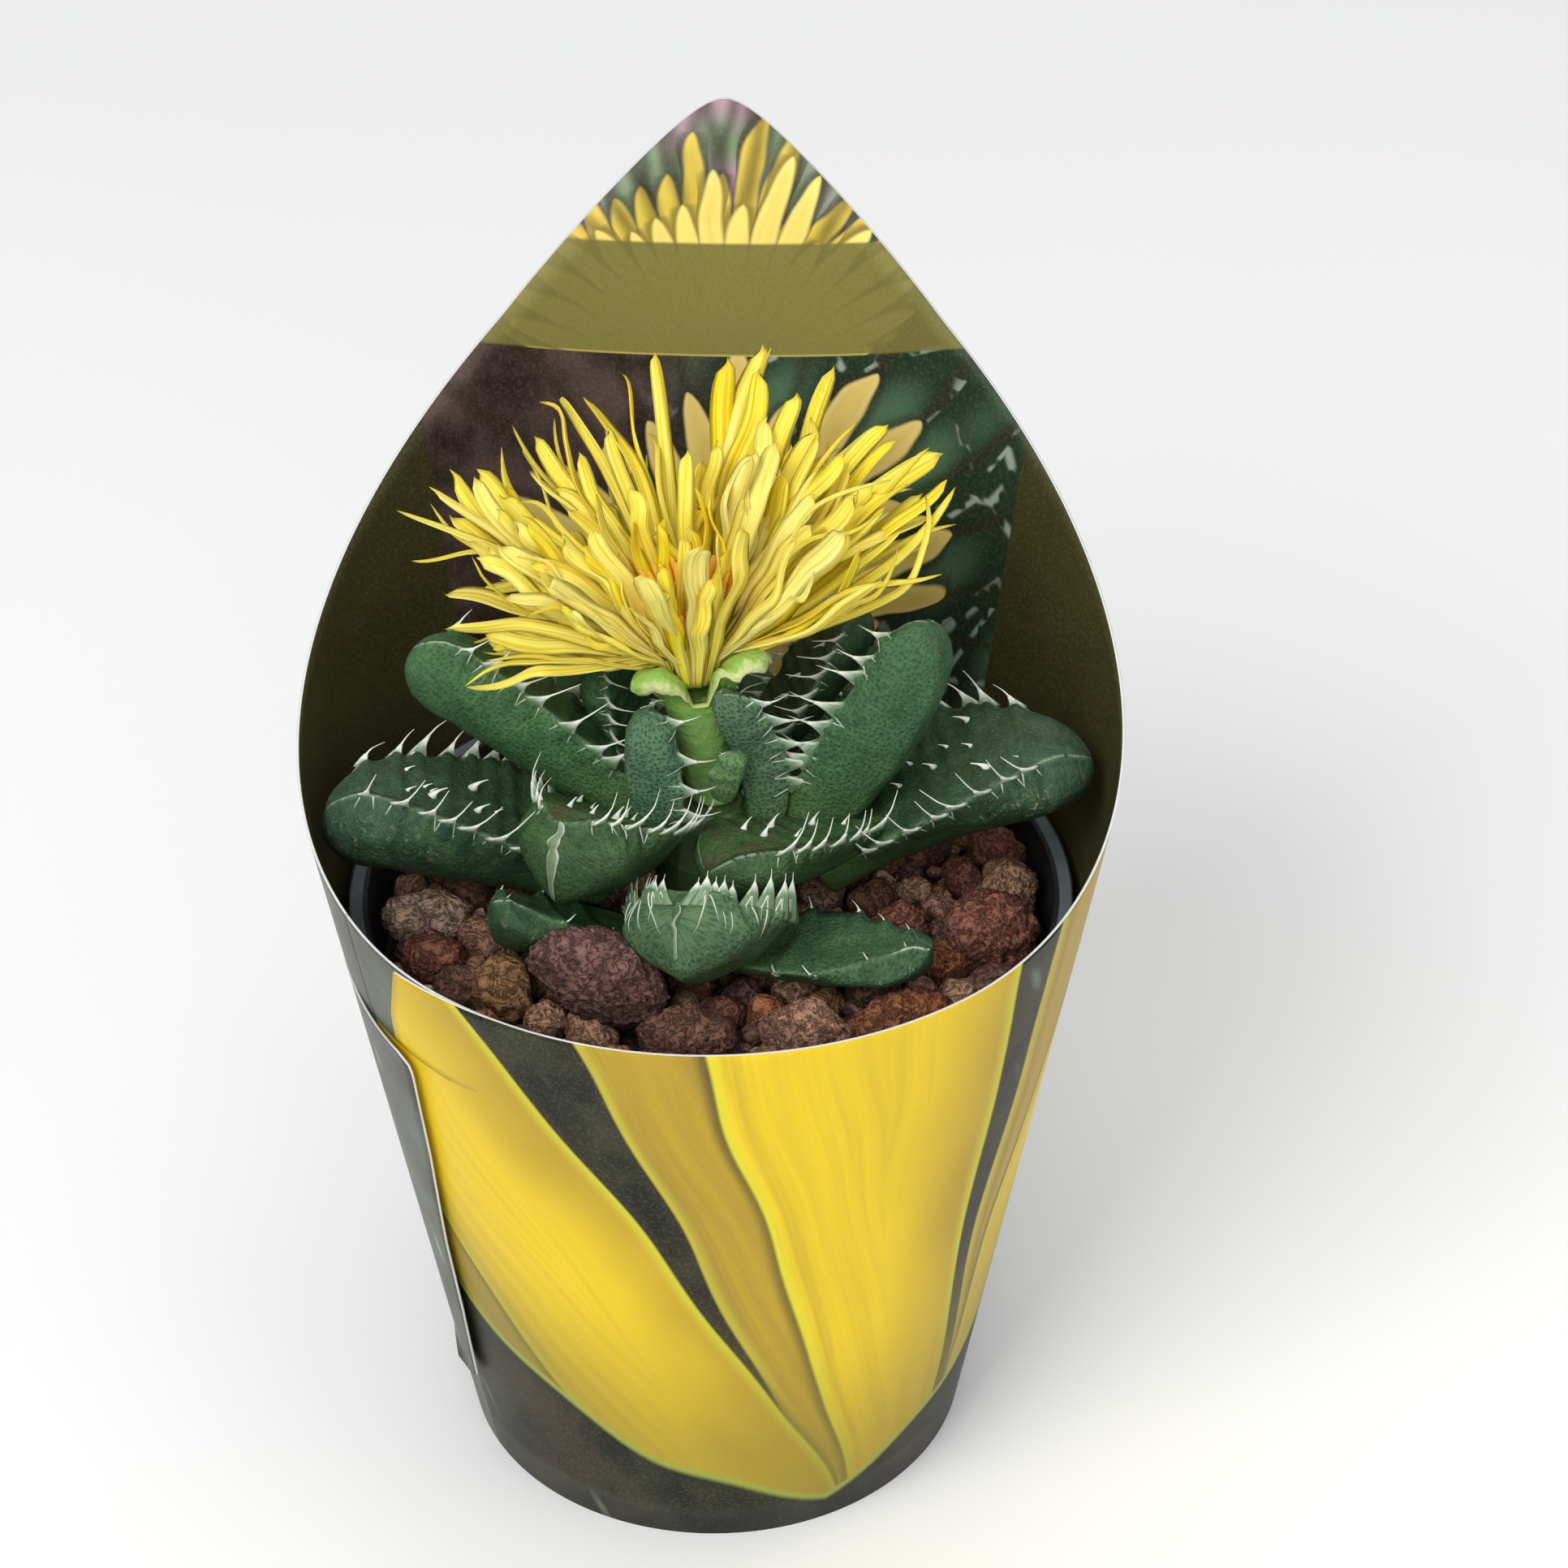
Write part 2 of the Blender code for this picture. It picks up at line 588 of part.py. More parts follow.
def tubercle_mesh(leaf, part, across):
    base, tip, along, face, side = leaf_axes(leaf)
    top, keel = leaf_heights(leaf, part)
    place = across * face_half_width(leaf, part)
    root = leaf_point(leaf, part, place, top + TUBERCLE_SINK)
    middle = root + face * TUBERCLE_SINK
    point = middle + face * TUBERCLE_HEIGHT - along * TUBERCLE_HEIGHT / 4
    return spike("tubercle", root, middle, point, along * TUBERCLE_RADIUS, side * TUBERCLE_RADIUS)


def dress_leaf(leaf, body, others):
    """Sets the teeth along both margins and a few tubercles on the face, clear of all else."""
    chance = random.Random(leaf["name"])
    trees = [tree_of(mesh) for mesh in others if boxes_meet(body.data, mesh, 5 * MM)]
    wanted = []
    per_side = leaf["teeth"]
    for hand in (1, -1):
        for step in range(per_side):
            part = 0.16 + 0.68 * (step + 0.5 + 0.2 * chance.uniform(-1, 1)) / per_side
            scale = 0.75 + 0.4 * chance.random()
            scale *= min(1.0, leaf["width"] / 8.0)
            for shorten in (1.0, 0.75, 0.5):
                wanted.append((hand * part, tooth_mesh(leaf, part, hand, TOOTH_LENGTH * scale * shorten)))
    for step in range(per_side // 2):
        part = 0.3 + 0.45 * (step + 0.5) / (per_side // 2)
        wanted.append((10 + part, tubercle_mesh(leaf, part, 0.45 * chance.uniform(-1, 1))))
    placed = []
    done = set()
    own = tree_of(body.data)
    for key, mesh in wanted:
        if key in done:
            continue
        root = sum((vertex.co for vertex in list(mesh.vertices)[:3]), Vector()) / 3
        if is_inside(root, own) and is_clear(mesh, trees):
            done.add(key)
            placed.append(add_object("spike", mesh))
    combine(body, placed, "UNION")
    keep_largest(body)


def make_leaves(material, fixed):
    """Builds the leaves from the inside out: each is cut back where an inner one already is."""
    bodies = []
    settled = list(fixed)
    for leaf in LEAVES:
        body = make_leaf_body(leaf, material)
        cut_clear(body, settled)
        settled.append(body.data)
        bodies.append(body)
    return bodies


def dress_leaves(bodies, fixed):
    plain = [body.data.copy() for body in bodies]
    finished = []
    for index, (leaf, body) in enumerate(zip(LEAVES, bodies)):
        others = fixed + finished + plain[index + 1:]
        dress_leaf(leaf, body, others)
        finished.append(body.data)


def pebble_mesh(chance, centre, size, turn):
    work = bmesh.new()
    bmesh.ops.create_icosphere(work, subdivisions=1, radius=0.5)
    for vertex in work.verts:
        vertex.co *= 1 + 0.16 * chance.uniform(-1, 1)
    bmesh.ops.scale(work, vec=size, verts=work.verts)
    bmesh.ops.rotate(work, matrix=Matrix.Rotation(math.radians(turn), 3, "Z"), verts=work.verts)
    bmesh.ops.translate(work, vec=centre, verts=work.verts)
    mesh = bpy.data.meshes.new("pebble")
    work.to_mesh(mesh)
    work.free()
    return mesh


def small_pebble_places(chance):
    """Seeded places for the small pebbles that fill the gaps between the larger ones."""
    places = []
    taken = [(x, y, (length + breadth) / 4) for x, y, length, breadth, height, turn in PEBBLES]
    tries = 0
    while len(places) < SMALL_PEBBLES and tries < 4000:
        tries += 1
        angle = chance.uniform(0, 2 * math.pi)
        reach = 23.3 * math.sqrt(chance.uniform(0.2, 1))
        size = chance.uniform(3.2, 5.0)
        x, y = reach * math.sin(angle), reach * math.cos(angle)
        if all(math.hypot(x - a, y - b) > 0.8 * (size / 2 + c) for a, b, c in taken):
            taken.append((x, y, size / 2))
            places.append((x, y, size, size * 0.8, size * 0.8, chance.uniform(0, 180)))
    return places


def make_gravel(material, leaves):
    """A bed of gravel with its pebbles fused in, hollowed under the leaves that lie on it."""
    chance = random.Random(GRAVEL_SEED)
    profile = (
        (fill_radius(GRAVEL_FLOOR), GRAVEL_FLOOR),
        (fill_radius(GRAVEL_BED), GRAVEL_BED),
        (STEM_HOLE, GRAVEL_BED),
        (STEM_HOLE, GRAVEL_FLOOR),
    )
    gravel = add_object("gravel", turned("gravel", profile, FILL_SIDES, closed_on_itself=True), material)
    limit = fill_radius(GRAVEL_BED) - GAP
    pebbles = []
    for x, y, length, breadth, height, turn in list(PEBBLES) + small_pebble_places(chance):
        size = Vector((length, breadth, height)) * MM
        reach = math.hypot(x, y) * MM
        inward = min(1.0, (limit - 0.54 * max(size.x, size.y)) / max(reach, 1e-6))
        centre = Vector((x * MM * inward, y * MM * inward, PEBBLE_LEVEL))
        pebbles.append(add_object("pebble", pebble_mesh(chance, centre, size, turn)))
    combine(gravel, pebbles, "UNION")
    cut_clear(gravel, leaves)
    return gravel


def bloom_frame():
    """The bloom's own axes: its middle line leans back and a little to the left."""
    lean = Matrix.Rotation(-math.radians(BLOOM_LEAN_BACK), 3, "X")
    lean = Matrix.Rotation(-math.radians(BLOOM_LEAN_LEFT), 3, "Y") @ lean
    return lean


def blade_mesh(azimuth, open_angle, start, rise, length, width, thickness, curl):
    """A narrow blade that leaves the bloom's middle line at an angle, with a lens section."""
    frame = bloom_frame()
    turn = math.radians(azimuth)
    radial = frame @ Vector((math.sin(turn), math.cos(turn), 0))
    side = frame @ Vector((math.cos(turn), -math.sin(turn), 0))
    middle_line = frame @ UP
    place = BLOOM_SEAT + radial * start + middle_line * rise
    rings = []
    before = 0.0
    for part, breadth in BLADE_BREADTHS:
        angle = math.radians(open_angle + curl * part)
        forward = radial * math.sin(angle) + middle_line * math.cos(angle)
        across = side * width / 2 * breadth
        deep = forward.cross(side).normalized() * thickness / 2
        place = place + forward * length * (part - before)
        before = part
        rings.append([place + across, place + deep, place - across, place - deep])
    point = place + forward * length * (1 - before)
    return loft("blade", rings, point)


def make_calyx(material):
    """The stalk widens into a fleshy cup with five lobes that spread under the petals."""
    seat_axis = bloom_frame() @ UP
    rings = []
    for part, radius in CALYX_RINGS:
        centre = STALK_FOOT.lerp(BLOOM_SEAT - seat_axis * GAP, part)
        normal = UP.lerp(seat_axis, part).normalized()
        turn = UP.rotation_difference(normal).to_matrix()
        ring = []
        for step in range(CALYX_SIDES):
            angle = 2 * math.pi * step / CALYX_SIDES
            ring.append(centre + turn @ Vector((math.cos(angle), math.sin(angle), 0)) * radius * MM)
        rings.append(ring)
    calyx = add_object("calyx", loft("calyx", rings), material)
    lobes = []
    for azimuth, angle, length in LOBES:
        mesh = blade_mesh(azimuth, angle, LOBE_START, LOBE_RISE, length * MM, LOBE_WIDTH, LOBE_THICKNESS,
                          LOBE_CURL)
        lobes.append(add_object("lobe", mesh))
    combine(calyx, lobes, "UNION")
    keep_largest(calyx)
    return calyx


def stamen_mesh(azimuth, open_angle, start, length):
    """One thread of the tuft, thickest near its pollen-laden end."""
    frame = bloom_frame()
    turn = math.radians(azimuth)
    angle = math.radians(open_angle)
    radial = frame @ Vector((math.sin(turn), math.cos(turn), 0))
    side = frame @ Vector((math.cos(turn), -math.sin(turn), 0))
    forward = radial * math.sin(angle) + frame @ UP * math.cos(angle)
    deep = forward.cross(side)
    place = BLOOM_SEAT + radial * start + frame @ UP * THREAD_ROOT
    rings = []
    for part, radius in THREAD_RADII:
        centre = place + forward * length * part
        ring = []
        for step in range(3):
            around = 2 * math.pi * step / 3
            ring.append(centre + (side * math.cos(around) + deep * math.sin(around)) * radius * MM)
        rings.append(ring)
    return loft("thread", rings, place + forward * length)


def make_stamens(material):
    frame = bloom_frame()
    chance = random.Random(BLOOM_SEED)
    rings = []
    for radius, height in TUFT_RINGS:
        ring = []
        for step in range(TUFT_SIDES):
            angle = 2 * math.pi * step / TUFT_SIDES
            offset = Vector((radius * math.cos(angle), radius * math.sin(angle), height)) * MM
            ring.append(BLOOM_SEAT + frame @ offset)
        rings.append(ring)
    stamens = add_object("stamens", loft("stamens", rings), material)
    threads = []
    for step in range(THREADS):
        azimuth = step * GOLDEN_ANGLE
        spread = math.sqrt((step + 0.5) / THREADS)
        length = chance.uniform(4.6, 6.2) * MM
        mesh = stamen_mesh(azimuth, 3 + 12 * spread, 1.35 * spread * MM, length)
        threads.append(add_object("thread", mesh))
    combine(stamens, threads, "UNION")
    keep_largest(stamens)
    return stamens


def make_petals(material, others):
    """Narrow petals from one ring, each raised a little wherever it would meet a leaf."""
    frame = bloom_frame()
    chance = random.Random(BLOOM_SEED)
    profile = ((PETAL_RING - 0.55 * MM, GAP), (PETAL_RING + 0.5 * MM, GAP),
               (PETAL_RING + 0.6 * MM, PETAL_RING_TOP), (PETAL_RING - 0.45 * MM, PETAL_RING_TOP))
    ring = turned("petals", profile, PETAL_RING_SIDES, closed_on_itself=True)
    for vertex in ring.vertices:
        vertex.co = BLOOM_SEAT + frame @ vertex.co
    petals = add_object("petals", ring, material)
    trees = [tree_of(mesh) for mesh in others]
    blades = []
    for azimuth, open_angle, length, width in PETALS:
        rise = 2.6 - 1.6 * min(1.0, max(0.0, open_angle / 55))
        wide = max(width, PETAL_LEAST_WIDTH) * MM
        curl = chance.uniform(-10, 10)
        for raised in (0, 5, 10, 15, 20, 26):
            mesh = blade_mesh(azimuth, open_angle - curl / 2 - raised, PETAL_RING, rise * MM, length * MM, wide,
                              PETAL_THICKNESS, curl)
            if is_clear(mesh, trees):
                blades.append(add_object("blade", mesh))
                break
    combine(petals, blades, "UNION", solver="MANIFOLD")
    keep_largest(petals)
    return petals


def shade_smooth(body, sharp_angle=50):
    body.data.shade_smooth()
    body.data.set_sharp_from_angle(angle=math.radians(sharp_angle))


def main():
    clear_scene()
    card = make_material("printed_card", (0.42, 0.36, 0.06), 0.35)
    plastic = make_material("pot_plastic", (0.03, 0.032, 0.035), 0.45)
    soil_mix = make_material("potting_soil", (0.06, 0.04, 0.028), 0.95)
    lava = make_material("volcanic_gravel", (0.26, 0.13, 0.09), 0.85)
    stem_skin = make_material("stem_skin", (0.12, 0.22, 0.07), 0.6)
    leaf_skin = make_material("leaf_skin", (0.07, 0.18, 0.08), 0.45)
    calyx_skin = make_material("calyx_skin", (0.25, 0.45, 0.08), 0.45)
    petal_skin = make_material("petal_skin", (0.9, 0.72, 0.04), 0.5)
    pollen = make_material("stamen_pollen", (0.9, 0.45, 0.03), 0.6)

    sleeve = make_sleeve(card)
    make_pot(plastic)
    make_soil(soil_mix)
    stem = make_stem(stem_skin)
    calyx = make_calyx(calyx_skin)
    stamens = make_stamens(pollen)
    leaves = make_leaves(leaf_skin, [stem.data, calyx.data])
    gravel = make_gravel(lava, [body.data for body in leaves])
    dress_leaves(leaves, [stem.data, calyx.data, gravel.data, sleeve.data])
    others = [body.data for body in leaves] + [calyx.data, stamens.data, sleeve.data]
    petals = make_petals(petal_skin, others)
    for body in [stem, calyx, petals, stamens, gravel, *leaves]:
        shade_smooth(body)
    for name in ("sleeve", "pot", "soil"):
        shade_smooth(bpy.data.objects[name], 30)


main()
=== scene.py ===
import math
import random

import bmesh
import bpy
from mathutils import Matrix, Vector, noise


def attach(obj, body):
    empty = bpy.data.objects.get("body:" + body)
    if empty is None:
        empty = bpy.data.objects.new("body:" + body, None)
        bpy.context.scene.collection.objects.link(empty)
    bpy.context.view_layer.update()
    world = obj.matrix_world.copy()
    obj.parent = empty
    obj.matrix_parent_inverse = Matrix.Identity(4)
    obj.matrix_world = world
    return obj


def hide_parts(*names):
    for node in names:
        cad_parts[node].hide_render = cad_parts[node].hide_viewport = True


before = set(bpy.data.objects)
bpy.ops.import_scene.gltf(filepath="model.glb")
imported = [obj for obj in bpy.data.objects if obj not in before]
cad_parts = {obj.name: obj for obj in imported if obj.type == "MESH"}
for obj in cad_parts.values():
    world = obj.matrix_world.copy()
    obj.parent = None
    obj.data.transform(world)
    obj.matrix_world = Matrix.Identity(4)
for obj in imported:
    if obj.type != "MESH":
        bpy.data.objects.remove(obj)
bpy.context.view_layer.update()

mm = 0.001
up = Vector((0, 0, 1))

# The place: a pale floor, soft lamps above and beside it, and the photo's own view of the plant,
# a hand's length away and looking down over the low lip of the sleeve.


class Value:
    """What one socket of a material gives, so that sums on it are written as sums."""

    def __init__(self, finish, socket):
        self.finish = finish
        self.socket = socket

    def math(self, operation, *others):
        return self.finish.sum(operation, self, *others)

    def step(self, low, high):
        """0 at low, 1 at high, and a smooth way between; low may be the greater one."""
        inputs = {"Value": self, "From Min": low, "From Max": high}
        return self.finish.node("ShaderNodeMapRange", {"interpolation_type": "SMOOTHSTEP"}, inputs)

    def __add__(self, other):
        return self.math("ADD", other)

    __radd__ = __add__

    def __sub__(self, other):
        return self.math("SUBTRACT", other)

    def __rsub__(self, other):
        return self.finish.sum("SUBTRACT", other, self)

    def __mul__(self, other):
        return self.math("MULTIPLY", other)

    __rmul__ = __mul__

    def __truediv__(self, other):
        return self.math("DIVIDE", other)

    def __pow__(self, other):
        return self.math("POWER", other)

    def __abs__(self):
        return self.math("ABSOLUTE")


class Finish:
    """A procedural material: its nodes are added by what is asked of it."""

    def __init__(self, name, **settings):
        self.material = bpy.data.materials.new(name)
        self.material.use_nodes = True
        self.tree = self.material.node_tree
        self.shader = self.tree.nodes["Principled BSDF"]
        self.colour = None
        for socket, value in settings.items():
            self.lay(socket.replace("_", " "), value)

    def give(self, socket, value):
        if isinstance(value, Value):
            self.tree.links.new(value.socket, socket)
        elif isinstance(value, tuple) and socket.type == "RGBA":
            socket.default_value = (*value, 1)
        else:
            socket.default_value = value

    def lay(self, socket, value):
        self.give(self.shader.inputs[socket], value)

    def node(self, kind, settings=None, inputs=None, output=0):
        made = self.tree.nodes.new(kind)
        for key, setting in (settings or {}).items():
            setattr(made, key, setting)
        for key, value in (inputs or {}).items():
            self.give(made.inputs[key], value)
        return Value(self, made.outputs[output])

    def sum(self, operation, *terms):
        return self.node("ShaderNodeMath", {"operation": operation}, dict(enumerate(terms)))

    def place(self):
        return self.node("ShaderNodeTexCoord", output=3)

    def noise(self, size, detail=3, roughness=0.55, distortion=0, where=None):
        """Cloudy noise whose patches are about this many millimetres wide."""
        inputs = {"Vector": where or self.place(), "Scale": 1000 / size, "Detail": detail,
                  "Roughness": roughness, "Distortion": distortion}
        return self.node("ShaderNodeTexNoise", None, inputs)

    def cells(self, size, where=None, feature="F1"):
        """The distance to the nearest of scattered points, or to the edge between their cells."""
        inputs = {"Vector": where or self.place(), "Scale": 1000 / size}
        return self.node("ShaderNodeTexVoronoi", {"feature": feature}, inputs)

    def blend(self, factor, first, second):
        inputs = {0: factor, 6: first, 7: second}
        return self.node("ShaderNodeMix", {"data_type": "RGBA"}, inputs, output=2)

    def coat(self, factor, colour):
        """Lays a colour over those so far; a factor of 1 hides them."""
        self.colour = self.blend(factor, self.colour, colour)
        self.lay("Base Color", self.colour)

    def parts(self, vector):
        """The three numbers of a vector."""
        split = self.node("ShaderNodeSeparateXYZ", None, {"Vector": vector}).socket.node
        return [Value(self, output) for output in split.outputs]

    def attribute(self, name):
        return self.node("ShaderNodeAttribute", {"attribute_name": name}, output=1)

    def join(self, across, along, third=0.0):
        """A place in millimetres made of its numbers, for noise and cells."""
        numbers = {0: across * mm, 1: along * mm, 2: third * mm}
        return self.node("ShaderNodeCombineXYZ", None, numbers)

    def relief(self, height, depth, strength=1.0):
        """Lets a height of 0 to 1 stand this many millimetres proud."""
        inputs = {"Height": height, "Distance": depth * mm, "Strength": strength}
        self.lay("Normal", self.node("ShaderNodeBump", None, inputs))


floor_paper = Finish("floor_paper", Roughness=0.8)
floor_clouds = floor_paper.noise(400)
floor_paper.lay("Base Color", floor_paper.blend(floor_clouds, (0.90, 0.90, 0.89), (0.94, 0.94, 0.93)))
floor_mesh = bpy.data.meshes.new("floor")
floor_reach = 4.0
floor_mesh.from_pydata([(x, y, 0) for x, y in ((-1, -1), (1, -1), (1, 1), (-1, 1))], [], [(0, 1, 2, 3)])
floor_mesh.transform(Matrix.Scale(floor_reach, 4))
floor_mesh.materials.append(floor_paper.material)
floor = bpy.data.objects.new("floor", floor_mesh)
bpy.context.collection.objects.link(floor)

lamp_aim = Vector((0, 0, 0.05))
lamps = (("window_light", (-0.40, -0.50, 0.70), 0.50, 5.3), ("overhead_light", (0.1, 0.15, 0.95), 0.8, 2.6),
         ("right_fill", (0.6, -0.45, 0.35), 0.5, 1.0), ("front_fill", (0.05, -0.75, 0.50), 0.6, 1.9))
for lamp_name, lamp_place, lamp_width, lamp_power in lamps:
    lamp_data = bpy.data.lights.new(lamp_name, "AREA")
    lamp_data.size = lamp_width
    lamp_data.energy = lamp_power
    lamp = bpy.data.objects.new(lamp_name, lamp_data)
    lamp.location = lamp_place
    lamp.rotation_euler = (lamp_aim - lamp.location).to_track_quat("-Z", "Y").to_euler()
    bpy.context.collection.objects.link(lamp)
sky = bpy.data.worlds.new("soft_room")
sky.use_nodes = True
sky.node_tree.nodes["Background"].inputs["Color"].default_value = (0.95, 0.97, 1.0, 1)
sky.node_tree.nodes["Background"].inputs["Strength"].default_value = 0.36
bpy.context.scene.world = sky
bpy.context.scene.view_settings.view_transform = "Standard"

camera_data = bpy.data.cameras.new("camera")
camera_data.lens = 101.57
camera_data.sensor_width = 36
camera_data.clip_start = 0.01
camera = bpy.data.objects.new("camera", camera_data)
camera.location = (0, -0.26994, 0.25212)
camera.rotation_euler = (math.radians(54.36), 0, math.radians(-1.179))
bpy.context.collection.objects.link(camera)
bpy.context.scene.camera = camera


# The pot: a thin moulded plastic pot of the size that growers use, black, with the top face of its rim
# painted a paler, mottled grey as a painted highlight. It stands on the floor inside the sleeve, and its
# drain holes are moulded in.

pot_plastic = Finish("pot_plastic")
pot_across, pot_deep, pot_high = pot_plastic.parts(pot_plastic.place())
pot_rim_height, pot_rim_radius = 0.049, 0.027
pot_reach = (pot_across * pot_across + pot_deep * pot_deep) ** 0.5
# Painted highlight: the top face of the rim is painted a paler, mottled grey where light catches it; the
# rest of the pot is near-black.
rim_top_highlight = pot_high.step(pot_rim_height - 0.4 * mm, pot_rim_height - 0.1 * mm)
rim_top_highlight = rim_top_highlight * abs(pot_reach - pot_rim_radius).step(0.5 * mm, 0.4 * mm)
rim_mottle = pot_plastic.noise(1.2, detail=5)
rim_highlight_grey = pot_plastic.blend(rim_mottle, (0.07, 0.085, 0.095), (0.16, 0.18, 0.20))
pot_plastic.lay("Base Color", pot_plastic.blend(rim_top_highlight, (0.012, 0.013, 0.014), rim_highlight_grey))
pot_plastic.lay("Roughness", 0.35 + 0.25 * rim_mottle)
pot_plastic.relief(pot_plastic.noise(0.4, detail=2), 0.03, 0.5)
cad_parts["pot"].material_slots[0].material = pot_plastic.material


# The soil: dark peaty potting mix, pressed into the pot under the gravel. It shows only through the
# drain holes.

potting_soil = Finish("potting_soil", Roughness=0.95)
crumbs = potting_soil.noise(1.1, detail=6, roughness=0.7)
potting_soil.lay("Base Color", potting_soil.blend(crumbs, (0.012, 0.008, 0.005), (0.09, 0.06, 0.04)))
potting_soil.relief(crumbs, 0.5)
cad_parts["soil"].material_slots[0].material = potting_soil.material


# The gravel: rounded volcanic pebbles, porous and dusty, poured round the plant by hand. Each is a ball
# with a few worn flats, then pitted; the named ones are those in sight, and small ones fill between them.
# Their colour carries painted highlights on ridges, and painted shade in creases, on low sides and in the
# bed.

pebble_level = 47.2
gravel_reach = 25.2
named_pebbles = (  # across, back, length, breadth, height, turn, tilt, colour
    (-21.6, -0.9, 7.4, 4.8, 4.0, 10, 0, "oval"), (-17.4, -3.8, 3.8, 4.2, 3.6, 30, 0, "pink"),
    (-21.0, -6.3, 4.8, 4.6, 4.4, -30, 0, "red"), (-18.6, -9.7, 4.2, 3.6, 3.8, 0, 0, "brown"),
    (-15.6, -10.6, 5.2, 5.6, 5.0, 20, 0, "ochre"), (-12.2, -13.6, 3.4, 3.0, 3.2, 0, 0, "tan"),
    (-9.0, -15.2, 4.4, 3.2, 3.4, -40, 0, "tan"), (-8.0, -13.1, 11.0, 6.2, 7.4, -20, 16, "maroon"),
    (-1.7, -16.4, 7.6, 5.4, 4.8, -4, 0, "brown"), (6.9, -15.9, 7.0, 5.4, 4.8, 8, 0, "pink"),
    (14.0, -14.3, 8.2, 4.4, 4.4, 22, 0, "orange"), (18.4, -11.6, 3.6, 3.2, 3.4, 40, 0, "tan"),
    (17.3, -7.6, 4.0, 3.6, 3.6, 0, 0, "orange"), (21.4, -5.2, 7.6, 6.6, 6.6, 60, 0, "red"),
    (18.0, -5.4, 2.6, 3.4, 3.0, 20, 0, "maroon"), (14.3, -2.8, 5.0, 3.8, 3.8, 0, 0, "red"),
    (17.4, -0.6, 2.8, 2.8, 3.0, 20, 0, "pink"), (15.4, 1.6, 3.2, 2.4, 3.0, 10, 0, "tan"),
    (12.4, 0.4, 4.0, 3.4, 3.4, 10, 0, "brown"), (23.2, 1.2, 4.8, 5.2, 4.6, 20, 0, "tan"),
    (22.8, 6.4, 4.4, 4.0, 4.0, -15, 0, "red"), (19.6, 2.4, 3.2, 3.2, 3.6, -15, 0, "red"),
    (20.8, -9.6, 4.2, 2.8, 3.0, 40, 0, "maroon"),
)
stone_colours = {
    "oval": (0.92, 0.62, 0.430), "pink": (0.52, 0.275, 0.180), "brown": (0.22, 0.105, 0.066),
    "ochre": (0.44, 0.230, 0.095), "tan": (0.60, 0.340, 0.200), "maroon": (0.245, 0.122, 0.098),
    "orange": (0.50, 0.185, 0.080), "red": (0.38, 0.145, 0.090),
}
filler_sizes = (4.2, 3.4, 2.6, 2.0, 1.5, 1.3)
tries_of_each, most_stones, worn_flats = 1500, 400, 10
bed_rings, bed_sides, bed_top, bed_foot = 26, 72, 45.8, 43.0
# Painted shade: the bed that shows between the stones is near-black, standing for the shaded gaps among
# them.
bed_shade_colour = (0.04, 0.021, 0.014)


def new_mesh(name, points, faces, **numbers):
    """A mesh with rows of three numbers, one row for each point, for its material to read."""
    mesh = bpy.data.meshes.new(name)
    mesh.from_pydata(points, [], faces)
    for kind, rows in numbers.items():
        layer = mesh.attributes.new(kind, "FLOAT_VECTOR", "POINT")
        layer.data.foreach_set("vector", [number for row in rows for number in row])
    return mesh


def add_piece(mesh, finishes, node):
    """Puts a mesh in the scene as a piece of the plant, in place of a plain solid."""
    for finish in finishes:
        mesh.materials.append(finish.material)
    mesh.shade_smooth()
    piece = bpy.data.objects.new(mesh.name, mesh)
    bpy.context.collection.objects.link(piece)
    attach(piece, "root")
    if node:
        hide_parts(node)


def add_shape(points, faces, new_points, new_faces):
    """Adds one closed shape to a growing list of points and faces."""
    first = len(points)
    points += new_points
    faces += [tuple(first + corner for corner in face) for face in new_faces]


def ring_faces(rings, sides, first=0):
    """The four-sided faces between rings of points that follow one another in a list."""
    faces = []
    for low in range(first, first + (rings - 1) * sides, sides):
        for side in range(sides):
            after = (side + 1) % sides
            faces.append((low + side, low + sides + side, low + sides + after, low + after))
    return faces


def end_faces(count, sides):
    """The two faces that close a shape of rings."""
    return [tuple(range(sides)), tuple(reversed(range(count - sides, count)))]


def stone_shape(chance, centre, size, turn, tilt, fineness):
    """A pebble: a ball with worn flats, lumps and pits."""
    ball = bmesh.new()
    bmesh.ops.create_icosphere(ball, subdivisions=fineness, radius=1)
    flats = []
    for flat in range(worn_flats):
        facing = Vector([chance.gauss(0, 1) for axis in range(3)]).normalized()
        flats.append((facing, chance.uniform(0.74, 0.96)))
    seed = Vector([chance.uniform(0, 90) for axis in range(3)])
    spin = Matrix.Rotation(math.radians(turn), 3, "Z") @ Matrix.Rotation(math.radians(tilt), 3, "Y")
    half = Vector(size) * mm / 2
    grain = max(size) / 5.0
    for vertex in ball.verts:
        way = vertex.co.copy()
        for facing, reach in flats:
            past = vertex.co.dot(facing) - reach
            if past > 0:
                vertex.co -= facing * past * 0.85
        lump = noise.fractal(way * 1.3 + seed, 1.0, 2.0, 3)
        pit = noise.noise(way * 5.2 * grain + seed)
        fine = noise.fractal(way * 9 * grain + seed, 0.8, 2.1, 3)
        swell = 1.05 + 0.17 * lump - 0.26 * max(0.0, pit) ** 1.3 + 0.06 * fine
        vertex.co = spin @ Vector(a * b for a, b in zip(vertex.co * swell, half)) + centre
    points = [vertex.co.copy() for vertex in ball.verts]
    faces = [tuple(corner.index for corner in face.verts) for face in ball.faces]
    ball.free()
    return points, faces


